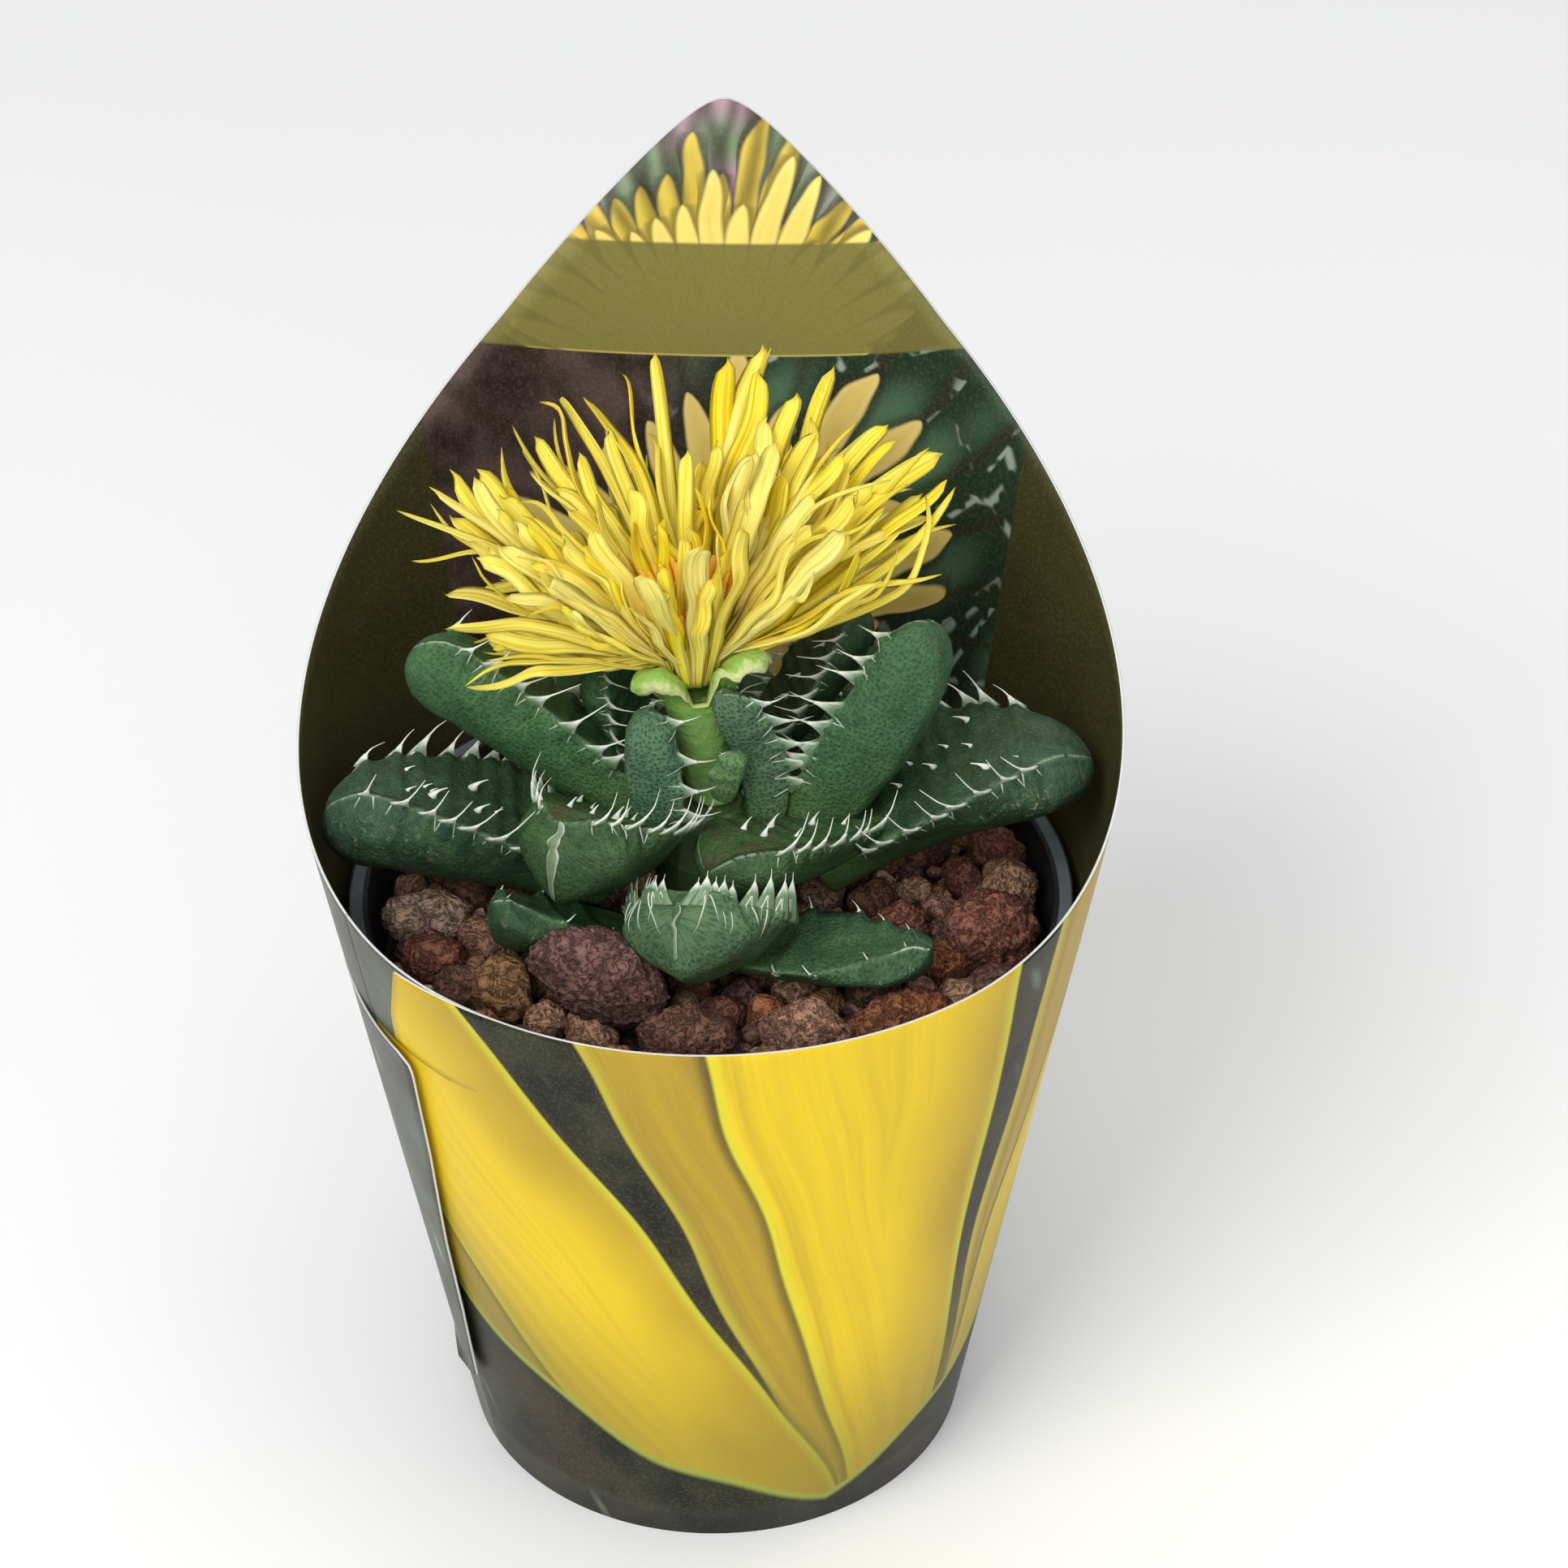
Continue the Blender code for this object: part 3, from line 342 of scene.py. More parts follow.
gravel_chance = random.Random(11)
stone_list, crowd = [], []
for x, y, length, breadth, height, turn, tilt, colour in named_pebbles:
    fineness = 5 if length > 6.8 else 4
    level = pebble_level - 1.2 + 0.28 * height + 0.13 * tilt
    stone_list.append((x, y, length, breadth, height, turn, tilt, colour, fineness, level))
    crowd.append((x, y, (length + breadth) / 4))
for rough_size in filler_sizes:
    for attempt in range(tries_of_each):
        angle = gravel_chance.uniform(0, 2 * math.pi)
        way = gravel_reach * math.sqrt(gravel_chance.uniform(0, 1))
        size = rough_size * gravel_chance.uniform(0.85, 1.1)
        x, y = way * math.sin(angle), way * math.cos(angle)
        if way + size / 2 > gravel_reach or len(stone_list) > most_stones:
            continue
        if all(math.hypot(x - near_x, y - near_y) > 0.80 * (size / 2 + half)
               for near_x, near_y, half in crowd):
            crowd.append((x, y, size / 2))
            colour = gravel_chance.choice(list(stone_colours))
            turn = gravel_chance.uniform(0, 180)
            stone_list.append((x, y, size, size * 0.85, size * 0.8, turn, 0, colour, 3, pebble_level - 0.8))
stone_points, stone_faces, stone_tints = [], [], []
for x, y, length, breadth, height, turn, tilt, colour, fineness, level in stone_list:
    inward = min(1.0, (gravel_reach - 0.5 * max(length, breadth)) / max(math.hypot(x, y), 0.01))
    centre = Vector((x * inward, y * inward, level)) * mm
    size = (length, breadth, height)
    new_points, new_faces = stone_shape(gravel_chance, centre, size, turn, tilt, fineness)
    add_shape(stone_points, stone_faces, new_points, new_faces)
    shade = gravel_chance.uniform(0.85, 1.2)
    for point in new_points:
        # Painted shade: each stone's colour darkens towards its low side, where it meets the bed and its
        # neighbours.
        low_side_shade = min(1.0, max(0.0, 0.42 - (point.z - centre.z) / (height * mm)) / 0.75)
        stone_tints.append([shade * part * (1 - 0.88 * low_side_shade ** 1.3) for part in stone_colours[colour]])
bed_points = [Vector((0, 0, bed_top * mm))]
for ring in range(1, bed_rings + 1):
    radius = gravel_reach * ring / bed_rings
    for side in range(bed_sides):
        angle = 2 * math.pi * side / bed_sides
        x, y = radius * math.cos(angle), radius * math.sin(angle)
        bump = 0.5 * noise.fractal(Vector((x, y, 3)) * 0.8, 1, 2, 3)
        bed_points.append(Vector((x, y, bed_foot if ring == bed_rings else bed_top + bump)) * mm)
bed_faces = [(0, 1 + side, 1 + (side + 1) % bed_sides) for side in range(bed_sides)]
add_shape(stone_points, stone_faces, bed_points, bed_faces + ring_faces(bed_rings, bed_sides, 1))
stone_tints += [bed_shade_colour] * len(bed_points)

lava = Finish("volcanic_gravel", Specular_IOR_Level=0.25)
tint = lava.attribute("tint")
mottle = lava.noise(1.6, detail=5, roughness=0.65)
speck = lava.noise(0.35, detail=3, roughness=0.6)
pores = lava.cells(0.55)
folds = lava.noise(1.0, detail=4, roughness=0.6, distortion=0.9)
crease = abs(folds - 0.47).step(0.045, 0.010)
lava.colour = lava.blend(0.5, tint, (0.035, 0.013, 0.010))
lava.coat(mottle.step(0.35, 0.65), tint)
# Painted highlight: the ridges of the folds are painted a paler tan.
lava.coat(0.6 * folds.step(0.53, 0.66), lava.blend(0.15, tint, (0.62, 0.42, 0.30)))
# Painted shade: the thin creases between the folds are painted near-black.
lava.coat(0.55 * crease, (0.024, 0.010, 0.008))
lava.coat(0.35 * speck.step(0.58, 0.74), lava.blend(0.5, tint, (0.50, 0.32, 0.22)))
lava.coat(0.75 * pores.step(0.30, 0.14) * mottle.step(0.4, 0.55), (0.030, 0.013, 0.010))
lava.lay("Roughness", 0.62 + 0.3 * speck)
lava.relief(mottle * 0.5 + speck * 0.4 + pores * 0.5 + folds * 1.6 - crease * 0.35, 0.7)
gravel_mesh = new_mesh("gravel_stones", stone_points, stone_faces, tint=stone_tints)
add_piece(gravel_mesh, [lava], "gravel")


# The stem: a short fleshy shoot that the leaves grow from in crossed pairs. It is all but hidden.

stem_skin = Finish("stem_skin", Roughness=0.5)
stem_skin.lay("Base Color", stem_skin.blend(stem_skin.noise(2), (0.03, 0.07, 0.02), (0.10, 0.17, 0.05)))
stem_skin.relief(stem_skin.noise(0.5), 0.1)
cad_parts["stem"].material_slots[0].material = stem_skin.material


# The sleeve: one sheet of coated card, printed on both sides, wrapped round the pot as a cone and hooked
# to itself at the front left. Its dark flap lies over the yellow end below the hook, and the yellow
# end's tab lies over the dark side above it. The cut edges are bare white card.

card = 0.2
foot_radius, cone_slope = 20.0, 0.176
lip_height, tip_height, tip_azimuth = 56.7, 97.0, 2.7
hook_low, hook_high = 47.30, 47.34
seam_azimuth, tab_cover = -118.0, 222.0
flap_edge = (  # height, azimuth
    (8.6, -112.0), (9.0, -119.0), (9.9, -122.2), (18.2, -124.4), (26.2, -125.6), (36.9, -128.7),
    (45.6, -130.0), (46.8, -130.0), (47.2, -127.2),
)
tab_edge = ((47.4, -124.8), (56.9, -131.4))
sleeve_columns, lower_rows, upper_rows, row_height = 300, 12, 16, 3.9
flap_levels, flap_lift, flap_root = 60, 0.75, -96.0
tab_levels, tab_lift, tab_root, tab_height = 12, 0.42, -156.0, 9.5
flap_steps = 14
flap_foot, tab_foot = flap_edge[0][0], tab_edge[0][0]


def sleeve_edge(azimuth):
    """Height of the sheet's upper edge, by degrees from +Y towards +X."""
    turn = (azimuth - tip_azimuth + 180) % 360 - 180
    away = math.hypot(turn, 4) - 4 * max(0.0, 1 - abs(turn) / 30)
    rise = max(0.0, 1 - away / 140) ** 1.95
    return lip_height + (tip_height - lip_height) * rise


def on_cone(azimuth, height, proud=0.0):
    radius = foot_radius + cone_slope * height + proud
    angle = math.radians(azimuth)
    return Vector((radius * math.sin(angle), radius * math.cos(angle), height)) * mm


def along_line(line, height):
    """The azimuth of a cut line at a height."""
    for (low, first), (high, second) in zip(line, line[1:]):
        if height <= high:
            part = max(0.0, (height - low) / (high - low))
            return first + (second - first) * part
    return line[-1][1]


def sheet_mesh(name, rows, sides, printed_edges=()):
    """A bent sheet, both sides and then its edges, from rows of corners. Each corner is its azimuth, its
    height, how proud its outer and inner sides stand, and the degrees that the print is turned there."""
    columns, count = len(rows[0]), len(rows)
    points, places, faces, finish_of = [], [], [], []
    for layer in (2, 3):
        for row in rows:
            for corner in row:
                points.append(on_cone(corner[0], corner[1], corner[layer]))
                places.append((corner[0] + corner[4], corner[1], 0.0))
    inner = count * columns
    for row in range(count - 1):
        for column in range(columns - 1):
            first = row * columns + column
            quad = (first, first + 1, first + columns + 1, first + columns)
            faces += [quad, tuple(inner + corner for corner in reversed(quad))]
            finish_of += [0, sides]
    low_edge = list(range(columns))
    right_edge = [row * columns + columns - 1 for row in range(count)]
    high_edge = [(count - 1) * columns + column for column in reversed(range(columns))]
    left_edge = [row * columns for row in reversed(range(count))]
    for number, line in enumerate((low_edge, right_edge, high_edge, left_edge)):
        for first, second in zip(line, line[1:]):
            faces.append((second, first, inner + first, inner + second))
            finish_of.append(0 if number in printed_edges else 2)
    mesh = new_mesh(name, points, faces, sheet=places)
    mesh.polygons.foreach_set("material_index", finish_of)
    return mesh


sleeve_rows, flap_rows, tab_rows = [], [], []
low_heights = [row_height * row for row in range(lower_rows)] + [hook_low, hook_high]
for row in range(len(low_heights) + upper_rows):
    line = []
    for column in range(sleeve_columns + 1):
        azimuth = seam_azimuth + 360 * column / sleeve_columns
        if row < len(low_heights):
            height = low_heights[row]
        else:
            part = (row - len(low_heights) + 1) / upper_rows
            height = hook_high + (sleeve_edge(azimuth) - hook_high) * part
        under_tab = azimuth > tab_cover and height > hook_low
        line.append((azimuth, height, 0.0, -card, -360 if under_tab else 0))
    sleeve_rows.append(line)
for level in range(flap_levels + 1):
    height = flap_foot + (hook_low + 0.2 - flap_foot) * level / flap_levels
    start = along_line(flap_edge, height)
    line = []
    for column in range(flap_steps + 1):
        part = column / flap_steps
        proud = 0.02 + flap_lift * (1 - part) ** 1.8 - 0.08 * part * part
        line.append((start + (flap_root - start) * part, height, proud, max(proud - card, -0.6 * card), 0))
    flap_rows.append(line)
for level in range(tab_levels + 1):
    share = level / tab_levels
    start = along_line(tab_edge, tab_foot + tab_height * share)
    line = []
    for column in range(flap_steps + 1):
        part = column / flap_steps
        azimuth = start + (tab_root - start) * part
        height = tab_foot + (sleeve_edge(azimuth) + 0.02 - tab_foot) * share
        proud = 0.02 + tab_lift * (1 - part) ** 2 * min(1.0, 2.5 * share) - 0.08 * part * part
        line.append((azimuth, height, proud, max(proud - card, -0.6 * card), 360))
    tab_rows.append(line[::-1])


def print_blades(finish, right, high, blades, turn, broad, reach, low_reach, base, edge, deep):
    """Prints a ring of petals about a point over what is there: a shadow, a light rim and a shaded side."""
    out = (right * right + high * high) ** 0.5
    angle = right.math("ARCTAN2", high) * (blades / (2 * math.pi)) + turn
    own = finish.node("ShaderNodeTexWhiteNoise", {"noise_dimensions": "1D"}, {"W": angle.math("FLOOR")})
    aside = (angle.math("FRACT") - 0.5) * out * (2 * math.pi / blades)
    reach = low_reach + (reach - low_reach) * (high / out).step(0.1, 0.65)
    part = out / (reach * (0.72 + 0.28 * own))
    inside = broad * part ** 0.7 * (1 - part ** 4).math("MAXIMUM", 0) ** 0.5 - abs(aside)
    aside = aside / broad
    streak = finish.noise(2.2, detail=4, where=finish.join(inside * 2.4, part * 9, own * 40))
    cloud = finish.noise(9, detail=2, where=finish.join(aside * 8, part * 40, own * 40))
    dull = streak.step(0.3, 0.75) * (0.6 - 0.35 * inside.step(0.5, 4))
    dull = dull.math("MAXIMUM", 0.85 * (aside + 1.1 * (cloud - 0.5)).step(-0.15, 0.75))
    body = finish.blend(0.7 * inside.step(1.5, 0.1), finish.blend(dull, base, deep), edge)
    finish.coat(0.6 * inside.step(-1.0, 0.0), (0.03, 0.022, 0.012))
    finish.coat(inside.step(0.0, 0.35), body)


def gloss_card(finish):
    """The print's fine grain, and the thin lacquer over it."""
    grain = finish.noise(0.25, detail=2)
    finish.coat(0.06 * grain.step(0.45, 0.7), (0.5, 0.45, 0.3))
    finish.lay("Roughness", 0.36 + 0.1 * grain)
    finish.relief(finish.noise(7, detail=2), 0.12, 0.35)


outer = Finish("outer_print", Coat_Roughness=0.3, Coat_Weight=0.02, Specular_IOR_Level=0.14)
azimuth, height, spare = outer.parts(outer.attribute("sheet"))
right = (180 - azimuth) * 0.47 + 2.5
spot = outer.join(right, height)
bend = 9 * outer.noise(34, detail=1, where=spot)
murk = outer.noise(7, detail=3, where=spot)
leaf_glint = outer.cells(5.5, where=outer.join(right + 0.5 * height, height * 0.35))
shade = outer.blend(murk.step(0.35, 0.7), (0.007, 0.008, 0.005), (0.032, 0.033, 0.015))
shade = outer.blend(0.5 * outer.noise(16, where=spot).step(0.5, 0.65), shade, (0.046, 0.024, 0.011))
shade = outer.blend(0.5 * leaf_glint.step(0.16, 0), shade, (0.26, 0.32, 0.22))
outer.colour = shade
print_blades(outer, right - 33 + bend, height + 34, 17, 0.35, 8.0, 170, 170,
             (0.46, 0.31, 0.020), (0.50, 0.47, 0.04), (0.20, 0.125, 0.030))
print_blades(outer, right - 29 + bend, height + 24, 14, 0.80, 16.5, 150, 150,
             (0.80, 0.56, 0.012), (0.62, 0.64, 0.035), (0.36, 0.235, 0.020))
foot_line = 4.5 + 0.36 * abs(right - 14) + 1.8 * (bend - 4.5) - height
# Darker olive over the 20 mm above the foot line: partly the print's dark foot, partly painted shade on the
# lower sleeve.
outer.coat(0.65 * foot_line.step(-20, 0), (0.22, 0.175, 0.026))
outer.coat(foot_line.step(-1.0, -0.5), (0.30, 0.34, 0.05))
outer.coat(foot_line.step(-0.4, 0.5), shade)
drops = outer.cells(4.2, where=outer.join(right + 0.3 * height, height * 0.4))
dusk = outer.blend(murk.step(0.3, 0.75), (0.075, 0.07, 0.062), (0.12, 0.15, 0.11))
dusk = outer.blend(0.8 * drops.step(0.17, 0.02), dusk, (0.45, 0.52, 0.42))
outer.coat((right + 16 * (murk - 0.5)).step(98, 107), dusk)
gloss_card(outer)

inner = Finish("inner_print", Coat_Roughness=0.3, Coat_Weight=0.02, Specular_IOR_Level=0.14)
azimuth, height, spare = inner.parts(inner.attribute("sheet"))
right = azimuth * 0.56
level = height - 0.0034 * (azimuth - tip_azimuth) ** 2
band_low, band_high = 76.2, 85.6
spot = inner.join(right, height)
haze = inner.noise(9, detail=1, where=spot)
sway = 3 * (inner.noise(12, detail=2, where=spot) - 0.5)
leaf_spot = inner.join(right * 1.1 - height * 0.6, height * 0.7)
scales = inner.cells(6.5, where=leaf_spot)
seams = inner.cells(6.5, where=leaf_spot, feature="DISTANCE_TO_EDGE")
glints = seams.step(0.05, 0.01) * inner.noise(2.0, detail=1, where=spot).step(0.5, 0.6)
foliage = inner.blend(scales.step(0.10, 0.60), (0.075, 0.16, 0.085), (0.016, 0.035, 0.018))
foliage = inner.blend(0.6 * glints, foliage, (0.50, 0.60, 0.48))
stones = inner.noise(6, detail=3, where=spot)
inner.colour = inner.blend(stones.step(0.3, 0.65), (0.022, 0.013, 0.011), (0.095, 0.062, 0.056))
inner.coat(right.step(-6, 3), foliage)
inner.coat(height.step(80, 92), inner.blend(haze.step(0.45, 0.6), (0.22, 0.29, 0.17), (0.42, 0.27, 0.33)))
print_blades(inner, right - 2 + sway, height - 52 - sway, 33, 0.3, 2.1, 28, 14,
             (0.80, 0.58, 0.14), (0.88, 0.69, 0.24), (0.52, 0.36, 0.08))
below_band = inner.colour
print_blades(inner, right + 1 + sway, height - 72 - sway, 59, 0.2, 1.5, 25, 3,
             (0.74, 0.53, 0.06), (0.82, 0.62, 0.10), (0.42, 0.27, 0.04))
print_blades(inner, right - 1 - sway, height - 72, 49, 0.7, 1.5, 22, 3,
             (0.94, 0.74, 0.13), (0.97, 0.82, 0.24), (0.66, 0.45, 0.06))
inner.coat(level.step(band_low + 0.2, band_low), below_band)
in_band = level.step(band_low, band_low + 0.3) * level.step(band_high, band_high - 0.3)
inner.coat(0.93 * in_band, (0.175, 0.160, 0.040))
margin = inner.blend(haze, (0.036, 0.034, 0.011), (0.056, 0.052, 0.016))
margin = inner.blend(in_band, margin, (0.15, 0.14, 0.04))
in_picture = azimuth.step(-41.5, -41) * azimuth.step(48.5, 48)
in_picture = in_picture.math("MAXIMUM", level.step(band_low, band_low + 0.3))
inner.coat(1 - in_picture, margin)
gloss_card(inner)

cut_card = Finish("cut_card", Roughness=0.85)
fibres = cut_card.noise(0.2, detail=4)
cut_card.lay("Base Color", cut_card.blend(fibres, (0.55, 0.55, 0.53), (0.82, 0.82, 0.80)))
cut_card.relief(fibres, 0.05)

card_finishes = [outer, inner, cut_card]
add_piece(sheet_mesh("wrapped_sheet", sleeve_rows, 1), card_finishes, "sleeve")
add_piece(sheet_mesh("hooked_flap", flap_rows, 2, (1,)), card_finishes, None)
add_piece(sheet_mesh("hooked_tab", tab_rows, 2, (0, 3)), card_finishes, None)


# The leaves: thick and fleshy, keeled below and flat above, in crossed pairs round the shoot. Their
# margins carry pale forked teeth that run out into curved hairs, and some faces have white warts.

leaf_looks = {  # colour, bloom, dots, browning
    "old": ((0.026, 0.064, 0.031), 0.55, 0.4, 0.25), "rising": ((0.055, 0.150, 0.053), 0.20, 0.8, 0.0),
    "dotted": ((0.054, 0.132, 0.060), 0.15, 0.8, 0.0), "olive": ((0.048, 0.112, 0.036), 0.10, 0.7, 0.8),
    "pale": ((0.102, 0.188, 0.085), 0.20, 0.8, 0.0), "dark": ((0.034, 0.086, 0.032), 0.22, 0.4, 0.1),
    "spotted": ((0.088, 0.180, 0.088), 0.15, 1.0, 0.0), "bright": ((0.120, 0.250, 0.090), 0.1, 0.8, 0.0),
}
leaves = (
    dict(name="leaf_bud", base=(0.9, -2.5, 59.6), tip=(1.5, -3.3, 64.3), width=2.8, depth=1.7, teeth=2,
         look="bright", tooth=0.7, taper=0.6),
    dict(name="leaf_inner_left", base=(-3.2, -2.5, 56.0), tip=(-3.5, -2.6, 67.8), width=5.2, depth=3.3,
         roll=-20, arch=-0.3, teeth=4, look="spotted", rim=0.3, tooth=3.6),
    dict(name="leaf_inner_right", base=(4.4, -0.5, 56.2), tip=(1.9, -2.6, 69.4), width=4.4, depth=3.1,
         roll=-4, arch=1.2, broad=0.5, taper=0.55, teeth=5, look="spotted", rim=0.4, tooth=4.2),
    dict(name="leaf_rising_left", base=(-3.6, 0.7, 56.8), tip=(-20.4, 5.2, 70.0), width=8.2, depth=6.1,
         roll=-24, arch=0.9, teeth=7, look="rising", rim=0.7, tooth=4.4),
    dict(name="leaf_rising_right", base=(7.3, 1.1, 54.7), tip=(15.4, 1.6, 73.2), width=8.7, depth=4.3,
         roll=60, arch=-1.2, taper=0.5, teeth=8, look="dotted", rim=0.5, tooth=4.4),
    dict(name="leaf_behind_left", base=(-4.0, 5.2, 55.6), tip=(-6.9, 6.3, 66.2), width=6.8, depth=3.5,
         arch=-0.6, taper=0.5, teeth=6, look="rising"),
    dict(name="leaf_behind_right", base=(2.9, 6.0, 56.6), tip=(10.4, 8.6, 69.4), width=8.6, depth=3.6,
         roll=15, broad=0.55, taper=0.6, teeth=7, look="dark", warts=3),
    dict(name="leaf_front_left", base=(-5.0, 0.0, 56.1), tip=(-10.9, -8.6, 62.2), width=11.4, depth=6.8,
         roll=-5, taper=0.3, teeth=8, look="olive", warts=9, keel=1.0, droop=0.08, blunt=0.90, tooth=3.8),
    dict(name="leaf_front_right", base=(12.0, 1.3, 56.0), tip=(-0.3, -7.2, 58.2), width=10.8, depth=5.2,
         roll=-12, broad=0.5, taper=0.55, teeth=7, look="olive", warts=8, rim=0.4,
         last_tooth=0.75, tooth=3.4),
    dict(name="leaf_mouth", base=(1.5, -5.8, 50.6), tip=(-2.6, -13.0, 57.7), width=12.2, depth=5.6,
         roll=-15, arch=-0.4, broad=0.5, taper=0.35, teeth=7, look="pale", keel=0.3, droop=0.05, blunt=0.86,
         last_tooth=0.84, tooth=2.4, crown=(0.90, 0.945, 0.975, 0.992)),
    dict(name="leaf_left", base=(-7.2, -0.6, 53.4), tip=(-27.5, -2.0, 61.4), width=11.2, depth=8.0,
         roll=-3, arch=1.1, broad=0.4, taper=0.35, teeth=9, look="old", warts=8, rim=0.4, scar=0.6,
         tooth=4.2),
    dict(name="leaf_right", base=(7.9, 1.4, 52.4), tip=(27.4, 1.5, 62.1), width=12.2, depth=7.4,
         roll=-6, arch=2.4, taper=0.4, teeth=8, look="old", warts=8, rim=0.4, scar=1.0,
         last_tooth=0.84, tooth=4.0),
    dict(name="leaf_back_left", base=(-4.0, 5.5, 51.5), tip=(-14.5, 17.5, 60.5), width=10.6, depth=6.4,
         arch=0.8, teeth=7, look="dark", warts=5),
    dict(name="leaf_back_right", base=(5.0, 6.5, 51.0), tip=(14.5, 18.5, 59.0), width=10.6, depth=6.4,
         arch=0.8, teeth=7, look="dark", warts=5),
    dict(name="leaf_back", base=(0.6, 8.0, 54.0), tip=(-1.0, 22.0, 61.0), width=10.0, depth=6.2,
         arch=0.8, teeth=7, look="dark", warts=5),
    dict(name="leaf_low_right", base=(2.2, -8.2, 50.0), tip=(16.0, -12.6, 53.2), width=8.8, depth=3.2,
         roll=4, arch=-0.2, taper=0.10, teeth=4, look="dotted", scar=1.0, rim=1.0, blunt=0.96,
         droop=0.2, tooth=1.2),
    dict(name="leaf_low_left", base=(-4.8, -6.0, 49.8), tip=(-15.9, -8.6, 55.2), width=7.4, depth=3.8,
         roll=-16, arch=-0.4, taper=0.2, teeth=3, look="dark", scar=0.7, rim=0.5, blunt=0.93,
         droop=0.2, tooth=1.1),
)
leaf_stations, side_steps, face_steps = 110, 6, 12
leaf_end = 0.9995
horn_sides, tooth_stations, streak_stations = 8, 17, 9


def smooth_curve(points, steps):
    """A smooth line through points; the first and last points only steer it."""
    line = []
    for a, b, c, d in zip(points, points[1:], points[2:], points[3:]):
        for step in range(steps):
            t = step / steps
            line.append(0.5 * (2 * b + (c - a) * t + (2 * a - 5 * b + 4 * c - d) * t * t
                               + (3 * b - a - 3 * c + d) * t ** 3))
    return line + [points[-2]]


def rounded_end(part, start):
    return math.sqrt(max(0.0, 1 - max(0.0, (part - start) / (1 - start)) ** 2.2))


class Leaf:
    """The shape of one leaf, as places on its face, margins and flanks."""

    def __init__(self, name, base, tip, width, depth, teeth, look, roll=0, arch=0, broad=0.45, taper=0.45,
                 warts=0, rim=0.0, keel=0.0, scar=0.0, droop=0.42, blunt=0.82, last_tooth=0.89, tooth=3.2,
                 crown=()):
        self.name, self.width, self.depth, self.look = name, width, depth, look
        self.base, self.tip = Vector(base), Vector(tip)
        self.arch, self.broad, self.taper, self.droop, self.blunt = arch, broad, taper, droop, blunt
        self.tooth, self.warts, self.lines = tooth, warts, (rim, keel, scar)
        self.length = (self.tip - self.base).length
        self.along = (self.tip - self.base).normalized()
        face = (up - up.dot(self.along) * self.along).normalized()
        turn = Matrix.Rotation(-math.radians(roll), 3, self.along)
        self.face, self.side = turn @ face, turn @ face.cross(self.along)
        self.seed = Vector((len(name), width * 3, depth * 7))
        chance = random.Random(name)
        spacing = (last_tooth - 0.12) / teeth
        self.tooth_places = {}
        for hand in (1, -1):
            evenly = [last_tooth - spacing * (step + 0.25 * chance.uniform(-1, 1)) for step in range(teeth)]
            self.tooth_places[hand] = evenly + list(crown)

    def point(self, part, across, down):
        """The place this far along the leaf, off its middle line and below its face."""
        lift = self.arch * 4 * part * (1 - part)
        sway = 0.35 * noise.noise(Vector((part * 2.0, 0, 0)) + self.seed)
        place = self.base.lerp(self.tip, part) + self.face * (lift - down) + self.side * (across + sway)
        return place * mm

    def half_width(self, part):
        if part < self.broad:
            shape = 0.7 + 0.3 * math.sin(math.pi / 2 * part / self.broad)
        else:
            shape = 1 - (1 - self.taper) * min(1.0, (part - self.broad) / (0.93 - self.broad)) ** 1.3
        return self.width / 2 * shape * rounded_end(part, self.blunt)

    def top(self, part):
        return self.droop * self.depth * (1 - rounded_end(part, 0.82))

    def thickness(self, part):
        swell = 0.68 + 0.32 * math.sin(math.pi / 2 * min(1.0, part / 0.75))
        return self.depth * swell * (0.42 + 0.58 * rounded_end(part, 0.8)) - self.top(part)

    def near_teeth(self, part, hand, spread):
        """How near the teeth of one margin are: 1 at a tooth, and less beside it."""
        ways = [(part - place) * self.length for place in self.tooth_places[hand]]
        return sum(math.exp(-(way / spread) ** 2) for way in ways)

    def scallop(self, part, hand):
        """How far the margin swells out towards a tooth."""
        return 0.42 * self.near_teeth(part, hand, 0.55) * min(1.0, self.width / 8)

    def flute(self, part, hand, walked):
        """How far the low ridge below each tooth stands out of the flank."""
        return 0.16 * self.near_teeth(part, hand, 0.38) * max(0.0, 1 - walked / 3.0)

    def flank(self, part, hand):
        """The section's line from the margin round to the keel, as (across, down) below the face."""
        edge, thick = self.half_width(part), self.thickness(part)
        swell = 0.75 + 0.25 * math.sin(math.pi / 2 * min(1.0, part / 0.6))
        belly = max(0.43 * self.width * swell * rounded_end(part, 0.74), 0.8 * edge)
        out = self.scallop(part, hand)
        points = ((0.80 * edge, -0.16 * thick), (edge + out, -0.5 * out), (belly, 0.34 * thick),
                  (0.70 * belly, 0.68 * thick), (0, thick), (-0.40 * belly, 1.04 * thick))
        return smooth_curve([Vector(point) for point in points], side_steps)

    def section(self, part):
        """Points round the leaf: across, down, distance from the margin and from the keel."""
        middle = Vector((0, 0.4 * self.thickness(part)))
        rows = []
        for hand in (1, -1):
            flank = self.flank(part, hand)
            walked, side = 0.0, []
            for place, before in zip(flank, [flank[0]] + flank):
                walked += (place - before).length
                proud = self.flute(part, hand, walked) * (place - middle).normalized()
                side.append((hand * (place.x + proud.x), place.y + proud.y, -walked))
            side = [(across, down, mark, walked + mark) for across, down, mark in side]
            rows += side if hand > 0 else side[-2::-1]
        right, left = rows[0], rows[-1]
        dish = 0.05 * self.width * (1 - part)
        for step in range(1, face_steps):
            share = step / face_steps
            across = left[0] + (right[0] - left[0]) * share
            down = left[1] + (right[1] - left[1]) * share
            down += dish * 4 * share * (1 - share) - 0.10 * abs(math.sin(2 * math.pi * share))
            rows.append((across, down, min(share, 1 - share) * self.width, 9.0))
        return rows

